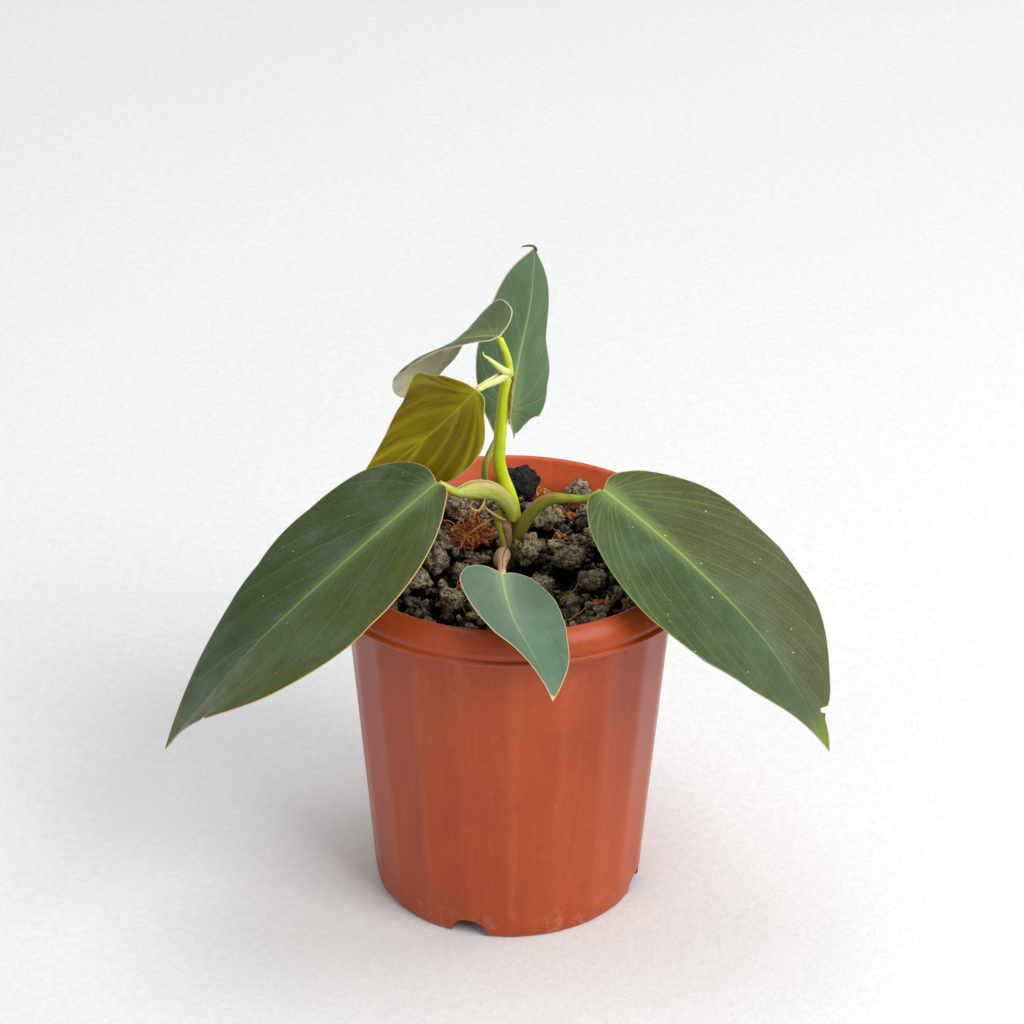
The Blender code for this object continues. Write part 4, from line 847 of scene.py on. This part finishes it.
def build_pot():
    prof = []           # (radius, z, share of facet)

    def run(points, n, flat=0.0):
        p = np.array(points, float)
        for r_, z_ in spline(p, np.linspace(0, 1, n)):
            prof.append((r_, z_, flat))

    run([(40.4, 0.0), (41.3, 0.3), (41.8, 1.0)], 6, 0.35)
    for z in (3.5, 6.4, 9, 12, 24, 40, 56, 72, 88, 100, 106, WALL_TOP_Z):
        prof.append((42.0 + (WALL_TOP_R - 42.0) * (z - 1.0) / (WALL_TOP_Z - 1.0), z, min(1.0, 0.35 + 0.075 * z)))
    run([(51.6, 109.8), (52.3, 111.8), (53.6, 114.2), (54.9, 115.3), (56.4, 114.9), (57.8, 112.8), (58.5, 110.6),
         (58.7, 109.2)], 18)
    run([(58.95, 108.75), (59.5, 108.6), (60.0, 108.9), (LIP_RADIUS, 109.45), (59.9, 109.95), (59.5, 110.15)], 12)
    run([(59.2, 110.35), (59.25, 110.9), (59.45, 111.8), (59.1, 113.6), (58.3, 115.3), (57.1, 116.8), (55.9, 117.8),
         (54.9, POT_HEIGHT), (54.2, 118.0), (53.75, 117.3)], 30)
    run([(53.4, 116.4), (52.6, 114.6), (51.4, 112.2), (50.6, 110.4), (50.2, 109.3), (49.9, WALL_TOP_Z)], 12)
    for z in (90, 60, 30, 8):
        prof.append((inner_radius(z), z, 0.0))
    run([(inner_radius(4.0), 4.0), (39.9, 2.4), (39.0, FLOOR_T)], 4)
    segs = FACETS * 14
    verts, faces = [], []
    for r_, z_, fl in prof:
        for j in range(segs):
            deg = 360.0 * j / segs + FACET_OFFSET
            rr = facet_radius(r_, deg) * fl + r_ * (1 - fl)
            a = rad(deg - 90)
            verts.append((rr * cos(a), rr * sin(a), z_))
    n = len(prof)
    for i in range(n - 1):
        for j in range(segs):
            k = (j + 1) % segs
            faces.append((i * segs + j, i * segs + k, (i + 1) * segs + k, (i + 1) * segs + j))
    faces.append(tuple(range(segs))[::-1])
    faces.append(tuple((n - 1) * segs + j for j in range(segs)))
    pot = put("nursery_pot", verts, faces, M_POT, ("pot",))
    cut = []
    cf = []
    for k in range(4):
        deg = NOTCH_FIRST + 90.0 * k
        a = rad(deg - 90.0)
        d, w = np.array([cos(a), sin(a), 0]), np.array([-sin(a), cos(a), 0])
        arch = [(-NOTCH_W / 2 - 0.3, -1.0), (NOTCH_W / 2 + 0.3, -1.0), (NOTCH_W / 2 - 0.1, 0.5)]
        for s in range(1, 16):
            q = pi * s / 16
            arch.append((NOTCH_W / 2 * 0.94 * cos(q), 0.9 + (NOTCH_H - 0.7) * sin(q) ** 0.95))
        arch.append((-NOTCH_W / 2 + 0.1, 0.5))
        m = len(arch)
        o = len(cut)
        cut += [tuple(d * rr + w * p + np.array([0, 0, z])) for rr in (34.0, 50.0) for p, z in arch]
        cf += [tuple(o + i for i in range(m)), tuple(o + m + i for i in range(m))[::-1]]
        cf += [tuple(o + x for x in (i, m + i, m + (i + 1) % m, (i + 1) % m)) for i in range(m)]
    me = bpy.data.meshes.new("notch_cutter")
    me.from_pydata([tuple(np.array(v) * MM) for v in cut], [], cf)
    import bmesh
    bm = bmesh.new()
    bm.from_mesh(me)
    bmesh.ops.recalc_face_normals(bm, faces=bm.faces)
    bm.to_mesh(me)
    bm.free()
    cutter = bpy.data.objects.new("notch_cutter", me)
    SCENE.collection.objects.link(cutter)
    mod = pot.modifiers.new("notches", "BOOLEAN")
    mod.operation, mod.solver, mod.object = "DIFFERENCE", "EXACT", cutter
    dg = bpy.context.evaluated_depsgraph_get()
    new = bpy.data.meshes.new_from_object(pot.evaluated_get(dg))
    pot.modifiers.clear()
    pot.data = new
    bpy.data.objects.remove(cutter, do_unlink=True)
    if not new.materials:
        new.materials.append(M_POT)
    new.shade_smooth()
    new.set_sharp_from_angle(angle=rad(50))
    return pot


build_pot()


# ----------------------------------------------------------------------- soil
def soil_material(name, tones, tan, rough=0.95, bump=1.0, tan_amount=1.0, dark=0.75):
    g = Nodes(name)
    obj = g.coords()
    tint = g.attr("tint")
    col = g.mix(g.range(tint, 0.0, 0.5, smoothed=False), tones[0], tones[1])
    col = g.mix(g.range(tint, 0.5, 1.0, smoothed=False), col, tones[2])
    n1 = g.noise(obj, 620.0, 6.0, 0.75)
    # painted shade: darker where the bump texture is low
    col = g.mix(g.range(n1, 0.42, 0.58), g.mix(dark, col, (0.003, 0.003, 0.003)), col)
    n2 = g.noise(obj, 1350.0, 5.0, 0.75)
    n3 = g.noise(obj, 210.0, 3.0, 0.6)
    col = g.mix(g.m("MULTIPLY", g.m("MULTIPLY", g.range(n2, 0.50, 0.62), g.range(n3, 0.40, 0.62)), tan_amount), col, tan)
    pits = g.voronoi(obj, 1050.0)
    pit = g.m("MULTIPLY", g.range(pits, 0.42, 0.10), g.range(n3, 0.35, 0.55, 0.45, 1.0))
    h = g.m("SUBTRACT", g.m("MULTIPLY", n1, 1.1), g.m("MULTIPLY", pit, 0.8))
    # painted shade: the carved pits are darkened almost to black
    col = g.mix(g.m("MULTIPLY", pit, 0.85), col, (0.002, 0.002, 0.002))
    sep = g.new("ShaderNodeSeparateXYZ")
    g.link(obj, sep.inputs[0])
    col = g.mix(g.range(sep.outputs[2], 0.1055, 0.1100, 0.85, 0.0), col, (0.001, 0.001, 0.001))   # painted shade: darker lower down, in the gaps between the grains
    mat = g.out(col, rough, g.bump(h, bump, 0.0011), IOR=1.4)
    g.b.inputs["Specular IOR Level"].default_value = 0.25
    return mat


M_LAVA = soil_material("lava_gravel", (srgb(116, 108, 96), srgb(188, 172, 146), srgb(236, 210, 170)), srgb(255, 226, 178))
M_LAVA_DARK = soil_material("lava_gravel_dark", (srgb(72, 69, 64), srgb(126, 119, 108), srgb(178, 160, 134)),
                            srgb(214, 178, 134), tan_amount=0.8)
M_LAVA_BLACK = soil_material("lava_gravel_black", (srgb(44, 44, 46), srgb(64, 64, 66), srgb(92, 88, 84)),
                             srgb(120, 106, 92), tan_amount=0.4)
# the potting mix tones are near black: partly the dark mix itself, partly painted shade for the deep gaps between the
# grains
M_MIX = soil_material("potting_mix", (srgb(8, 7, 6), srgb(14, 12, 10), srgb(30, 25, 20)), srgb(90, 68, 46),
                      tan_amount=0.25)


def coir_material():
    g = Nodes("coir_fibre")
    obj = g.coords()
    t = g.attr("tint")
    col = g.mix(t, srgb(150, 72, 22), srgb(236, 160, 88))
    col = g.mix(g.range(g.noise(obj, 900.0, 3.0), 0.4, 0.7, 0.0, 0.6), col, srgb(104, 48, 16))
    return g.out(col, 0.8, g.bump(g.noise(obj, 3000.0, 3.0), 0.4, 0.0001), IOR=1.4)


M_COIR = coir_material()

MIX_TOP = 108.0


def mix_height(x, y):
    lump = nz(x * 0.11, y * 0.11, 4.0) * 0.9
    return MIX_TOP + lump + 1.6 * max(0.0, y / 48.0) ** 2


def build_mix():
    segs = 160
    side = [(33.4, FLOOR_T + 0.3), (39.9, 7.2), (inner_radius(56.0) - 0.25, 56.0), (inner_radius(102.0) - 0.2, 102.0)]
    verts, faces, rings = [(0, 0, FLOOR_T + 0.3)], [], []
    for r_, z_ in side:
        rings.append([len(verts) + j for j in range(segs)])
        verts += [(r_ * cos(2 * pi * j / segs), r_ * sin(2 * pi * j / segs), z_) for j in range(segs)]
    radii = np.linspace(49.4, 1.0, 60)
    for r_ in radii:
        rings.append([len(verts) + j for j in range(segs)])
        for j in range(segs):
            x, y = r_ * cos(2 * pi * j / segs), r_ * sin(2 * pi * j / segs)
            k = 1.0 if r_ < 48.5 else 0.4
            z = mix_height(x, y) - 4.2 + k * (1.4 * nz(x * 0.5, y * 0.5, 1.0) + 0.7 * nz(x * 1.3, y * 1.3, 7.0)
                                              + 0.35 * nz(x * 3.1, y * 3.1, 3.0))
            verts.append((x, y, z))
    verts.append((0, 0, mix_height(0, 0) - 4.2))
    top = len(verts) - 1
    for j in range(segs):
        k = (j + 1) % segs
        faces.append((0, rings[0][k], rings[0][j]))
        for a, b in zip(rings, rings[1:]):
            faces.append((a[j], a[k], b[k], b[j]))
        faces.append((rings[-1][j], rings[-1][k], top))
    v = np.array(verts)
    tint = np.array([0.5 + 0.9 * nz(p[0] * 0.4, p[1] * 0.4, p[2] * 0.4) for p in v])
    return put("mix_bed", verts, faces, M_MIX, ("potting_mix",), dict(tint=np.clip(tint, 0, 1)))


build_mix()


def icosphere(level):
    import bmesh
    bm = bmesh.new()
    bmesh.ops.create_icosphere(bm, subdivisions=level, radius=1.0)
    bm.verts.ensure_lookup_table()
    v = np.array([tuple(x.co) for x in bm.verts])
    f = np.array([[y.index for y in x.verts] for x in bm.faces])
    bm.free()
    return v, f


ICO = {k: icosphere(k) for k in (1, 2, 3, 4, 5)}
rng = np.random.default_rng(7)


def lump(centre, radii, level, seed, rough=0.30):
    """One porous lump: rounded, then broken by ridged noise and pits."""
    v, f = ICO[level]
    out = np.empty_like(v)
    for i, c in enumerate(v):
        a = noise.noise(Vector(c * 1.3 + seed * 7.31))
        b = noise.noise(Vector(c * 3.1 + seed * 3.77))
        k = 1 + rough * 1.5 * a + rough * 0.8 * b
        if level >= 4:
            d = noise.noise(Vector(c * 7.5 + seed * 1.9))
            k += rough * 0.42 * d - rough * 0.55 * max(0.0, noise.noise(Vector(c * 11.0 + seed * 5.1)) - 0.15)
        out[i] = c * k
    # a few flat breaks
    for s in range(3):
        d = np.array([noise.noise(Vector((seed * 2.3, s * 5.1, k * 3.3))) for k in range(3)])
        d = unit(d + 1e-3)
        h = out @ d
        lim = 0.74
        out -= np.maximum(h - lim, 0)[:, None] * d * 0.85
    return out * np.asarray(radii) + np.asarray(centre), f


def join_lumps(name, items, mat, nodes=(), rough=0.30):
    V, F, T, o = [], [], [], 0
    for (centre, radii, level, seed, tint) in items:
        v, f = lump(centre, radii, level, seed, rough)
        V.append(v)
        F.append(f + o)
        T.append(np.clip(tint + 0.25 * np.array([noise.noise(Vector(p * 0.6)) for p in v]), 0, 1))
        o += len(v)
    return put(name, np.vstack(V), np.vstack(F).tolist(), mat, nodes, dict(tint=np.concatenate(T)))


# the lumps that are pieces of their own
CHUNKS = [
    (5.8, 3.2, 3.7, 3.8, 4.4), (3.6, 43.0, 5.2, 4.6, 5.2), (11.8, 25.0, 4.4, 4.2, 3.8), (21.5, 41.0, 3.2, 3.2, 3.2),
    (-22.0, 9.0, 3.4, 3.6, 3.2), (-13.7, -9.0, 3.5, 3.3, 3.0), (28.0, 13.0, 4.0, 3.8, 3.2),
    (17.6, 0.0, 3.8, 3.6, 3.2), (28.5, 27.0, 3.6, 3.6, 3.0), (-22.5, -1.0, 3.5, 3.6, 3.0),
    (9.2, -17.0, 3.8, 3.6, 3.0), (25.0, -13.0, 3.6, 3.4, 3.0), (-28.0, -14.0, 4.0, 3.8, 3.2),
    (-17.5, -25.0, 3.6, 3.4, 3.0), (-16.0, 30.0, 4.0, 4.0, 3.4), (37.0, -3.0, 3.6, 3.6, 3.2),
]
TINTS = [0.75, 0.25, 0.62, 0.45, 0.3, 0.4, 0.5, 0.35, 0.45, 0.25, 0.3, 0.4, 0.55, 0.6, 0.4, 0.35]
for i, (x, y, rx, ry, rz) in enumerate(CHUNKS):
    node = "lava_%02d" % (i + 1)
    lo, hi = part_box(node)
    lo, hi = np.array(lo) / MM, np.array(hi) / MM
    c, h = (lo + hi) / 2, (hi - lo) / 2
    if i == 1:
        c, h = c - (1.0, 0, 1.4), h * (1.1, 1.0, 0.78)
    join_lumps("lump_%02d" % (i + 1), [(c, h * 1.06, 5, 1.7 * i + 0.3, TINTS[i])],
               M_LAVA_BLACK if i == 1 else M_LAVA, (node,),
               0.18 if i == 1 else 0.30)


PLACED = [(x, y, mix_height(x, y) + 0.6, (rx + ry) / 2.2) for x, y, rx, ry, rz in CHUNKS]


def pile(count, rmin, rmax, seed, level, low, cap, share=0.92):
    """Drops grains one by one onto the bed and the grains already there."""
    g = np.random.default_rng(seed)
    out, tries = [], 0
    while len(out) < count and tries < count * 12:
        tries += 1
        size = rmin + (rmax - rmin) * g.random() ** 1.6
        rr = (49.9 - size) * math.sqrt(g.random())
        a = 2 * pi * g.random()
        x, y = rr * cos(a), rr * sin(a)
        if math.hypot(x + 0.6, y - 7.4) < 2.3 + size * 0.8 or math.hypot(x + 10.5, y - 15.2) < 4.6:
            continue
        if abs(x + 2.3) < 1.8 + size and -12 < y < 8:        # under the front stalk
            continue
        P = np.array(PLACED)
        d2 = (P[:, 0] - x) ** 2 + (P[:, 1] - y) ** 2
        reach = ((P[:, 3] + size) * share) ** 2
        on = d2 < reach
        z = mix_height(x, y) - low + size * 0.55
        if on.any():
            z = max(z, float((P[on, 2] + np.sqrt(reach[on] - d2[on]) * 0.9).max()))
        # fewer, lower grains here, so the near-black bed shows as a patch of painted shade
        hollow = math.exp(-((x - 20) ** 2 + (y + 7) ** 2) / 70)
        if z + size * 0.8 > mix_height(x, y) + cap * (0.7 + 0.6 * g.random()) - 4.4 * hollow:
            continue
        PLACED.append((x, y, z, size))
        out.append(((x, y, z), size * (0.8 + 0.4 * g.random(3)) * np.array([1, 1, 0.88]), level, g.random() * 50,
                    g.random()))
    return out


big = pile(150, 2.1, 3.7, 11, 4, 4.2, 2.6)
midl = pile(420, 1.1, 2.0, 12, 3, 4.2, 3.0)
small = pile(900, 0.45, 0.95, 13, 2, 4.2, 2.4)
join_lumps("gravel_coarse_a", big[::2], M_LAVA)
join_lumps("gravel_coarse_b", big[1::2], M_LAVA_DARK)
join_lumps("gravel_medium_a", midl[::2], M_LAVA)
join_lumps("gravel_medium_b", midl[1::2], M_LAVA_DARK)
join_lumps("gravel_fine", small, M_LAVA_DARK)


# ----------------------------------------------------------------------- coir
def fibres(name, items, mat, nodes=(), sides=5):
    """Thin bent fibres: (points, radius, tint) each."""
    V, F, T, o = [], [], [], 0
    for pts, radius, tint in items:
        k = len(pts) * 3
        c = spline(pts, np.linspace(0, 1, k))
        tg = unit(np.gradient(c, axis=0))
        ref = np.array([0.31, 0.52, 0.79])
        s = unit(np.cross(tg, ref))
        nn = np.cross(s, tg)
        for j in range(k):
            rr = radius * (0.35 + 0.65 * sin(pi * min(1, max(0, (j + 0.4) / (k - 0.2)))) ** 0.4)
            for q in range(sides):
                a = 2 * pi * q / sides
                V.append(c[j] + (s[j] * cos(a) + nn[j] * sin(a)) * rr)
                T.append(tint)
        for j in range(k - 1):
            for q in range(sides):
                p = (q + 1) % sides
                F.append((o + j * sides + q, o + j * sides + p, o + (j + 1) * sides + p, o + (j + 1) * sides + q))
        F.append(tuple(o + q for q in range(sides))[::-1])
        F.append(tuple(o + (k - 1) * sides + q for q in range(sides)))
        o += k * sides
    return put(name, V, F, mat, nodes, dict(tint=T))


def coir_strands(centre, spread, count, seed, radius=(0.12, 0.24)):
    g = np.random.default_rng(seed)
    items = []
    for _ in range(count):
        d = g.normal(size=3)
        d[2] = abs(d[2]) * 0.8
        p = np.asarray(centre) + unit(d) * np.asarray(spread) * (0.35 + 0.65 * g.random())
        heading = unit(np.cross(d, g.normal(size=3)))
        pts = [p]
        step = 1.1 + 0.9 * g.random()
        for _k in range(5 + int(4 * g.random())):
            heading = unit(heading + 0.75 * g.normal(size=3) - 0.35 * unit(pts[-1] - np.asarray(centre)))
            nxt = pts[-1] + heading * step
            nxt[2] = max(nxt[2], mix_height(nxt[0], nxt[1]) + 0.2)
            pts.append(nxt)
        items.append((np.array(pts), radius[0] + (radius[1] - radius[0]) * g.random() ** 2, g.random()))
    return items


lo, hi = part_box("coir_clump")
cc = (np.array(lo) + np.array(hi)) / 2 / MM
ch = (np.array(hi) - np.array(lo)) / 2 / MM


def crumbs(centre, spread, count, seed, size=(0.35, 1.0)):
    """Coir dust: small angular crumbs heaped on a spot."""
    g = np.random.default_rng(seed)
    out = []
    for _ in range(count):
        d = unit(g.normal(size=3))
        d[2] = abs(d[2])
        p = np.asarray(centre) + d * np.asarray(spread) * (0.55 + 0.45 * g.random())
        k = size[0] + (size[1] - size[0]) * g.random() ** 2
        out.append((p, k * (0.7 + 0.6 * g.random(3)), 2, g.random() * 40, 0.15 + 0.85 * g.random()))
    return out


fibres("coir_tangle", coir_strands(cc - (0, 0, 0.9), ch * (0.95, 0.95, 0.80), 150, 21, (0.14, 0.34)), M_COIR,
       ("coir_clump",))
join_lumps("coir_heart", [(cc - (0, 0, 1.2), ch * (0.86, 0.86, 0.70), 4, 3.3, 0.15)]
           + crumbs(cc - (0, 0, 1.0), ch * (0.92, 0.92, 0.80), 210, 22), M_COIR)
loose, dust = [], []
for (x, y, n_, sd, w_) in ((18.5, 30.0, 5, 31, 2.2), (15.5, 18.0, 3, 32, 1.6), (9.5, 44.0, 6, 33, 3.0),
                           (27.5, -24.0, 5, 34, 3.4), (-3.0, 24.0, 3, 35, 1.4), (-26.0, -10.0, 2, 36, 1.2),
                           (20.0, 9.0, 2, 37, 1.4), (-15.0, -14.0, 1, 38, 1.0)):
    spot = (x, y, mix_height(x, y) + 1.2)
    loose += coir_strands(spot, (w_, w_, 1.0), n_, sd, (0.10, 0.2))
    dust += crumbs(spot, (w_, w_ * 0.8, 1.4), int(10 + 9 * w_), sd + 60, (0.3, 0.85))
join_lumps("coir_dust", dust, M_COIR)
g0 = np.random.default_rng(41)
for _ in range(12):         # single long fibres lying about on the gravel
    rr, a = 42 * math.sqrt(g0.random()), 2 * pi * g0.random()
    p = np.array([rr * cos(a), rr * sin(a), 0.0])
    h = unit(np.r_[g0.normal(size=2), 0.0])
    pts = []
    for k in range(7):
        pts.append(np.array([p[0], p[1], mix_height(p[0], p[1]) + 2.4 + 0.8 * g0.random()]))
        h = unit(h + np.r_[g0.normal(size=2) * 0.35, 0.0])
        p = p + h * (1.6 + g0.random())
        if math.hypot(p[0], p[1]) > 47:
            break
    if len(pts) > 3:
        loose.append((np.array(pts), 0.09 + 0.08 * g0.random(), 0.4 + 0.6 * g0.random()))
fibres("coir_loose", loose, M_COIR)

# hidden roots keep their solid and take the root finish
for o in bpy.data.objects:
    if o.name == "roots" or o.name.startswith("roots"):
        for sl in o.material_slots:
            sl.material = M_ROOT

# ---------------------------------------------------------------- floor, light
def floor_material():
    g = Nodes("floor")
    obj = g.coords()
    n = g.noise(obj, 330.0, 6.0, 0.7)
    m = g.noise(obj, 9.0, 3.0, 0.5)
    col = g.mix(g.range(n, 0.3, 0.7), (0.80, 0.812, 0.82), (0.87, 0.88, 0.885))
    col = g.mix(g.range(m, 0.3, 0.7, 0.0, 0.25), col, (0.82, 0.825, 0.825))
    return g.out(col, 0.92, g.bump(g.m("ADD", n, g.noise(obj, 900.0, 4.0, 0.6)), 0.35, 0.0006))


def build_stage():
    v, f = [], []
    prof = [(-3.0, 0.0), (1.6, 0.0)] + [(1.6 + 1.2 * sin(pi / 2 * k / 10), 1.2 - 1.2 * cos(pi / 2 * k / 10)) for k in
                                        range(1, 11)] + [(2.8, 4.0)]
    for y, z in prof:
        v += [(-5.0, y, z), (5.0, y, z)]
    for i in range(len(prof) - 1):
        f.append((2 * i, 2 * i + 1, 2 * i + 3, 2 * i + 2))
    me = bpy.data.meshes.new("floor")
    me.from_pydata(v, [], f)
    me.shade_smooth()
    me.materials.append(floor_material())
    ob = bpy.data.objects.new("floor", me)
    SCENE.collection.objects.link(ob)


build_stage()


def area(name, loc, target, size, power, color=(1, 1, 1)):
    d = bpy.data.lights.new(name, "AREA")
    d.shape, d.size, d.size_y, d.energy, d.color = "RECTANGLE", size[0], size[1], power, color
    ob = bpy.data.objects.new(name, d)
    ob.location = loc
    ob.rotation_euler = (Vector(target) - Vector(loc)).to_track_quat("-Z", "Y").to_euler()
    SCENE.collection.objects.link(ob)


area("key", (1.25, -1.1, 1.5), (0, 0, 0.08), (1.3, 1.3), 34.0, (1.0, 0.985, 0.96))
area("side", (1.5, 0.3, 0.7), (0, 0, 0.08), (0.8, 1.0), 6.0, (1.0, 0.99, 0.97))
area("fill", (-1.4, -1.2, 1.0), (0, 0, 0.08), (1.4, 1.4), 3.0, (0.95, 0.98, 1.0))
area("top", (0.0, 0.3, 2.0), (0, 0, 0.1), (1.6, 1.6), 13.0)
world = bpy.data.worlds.new("world")
SCENE.world = world
world.use_nodes = True
world.node_tree.nodes["Background"].inputs[0].default_value = (0.95, 0.97, 1.0, 1)
world.node_tree.nodes["Background"].inputs[1].default_value = 0.42
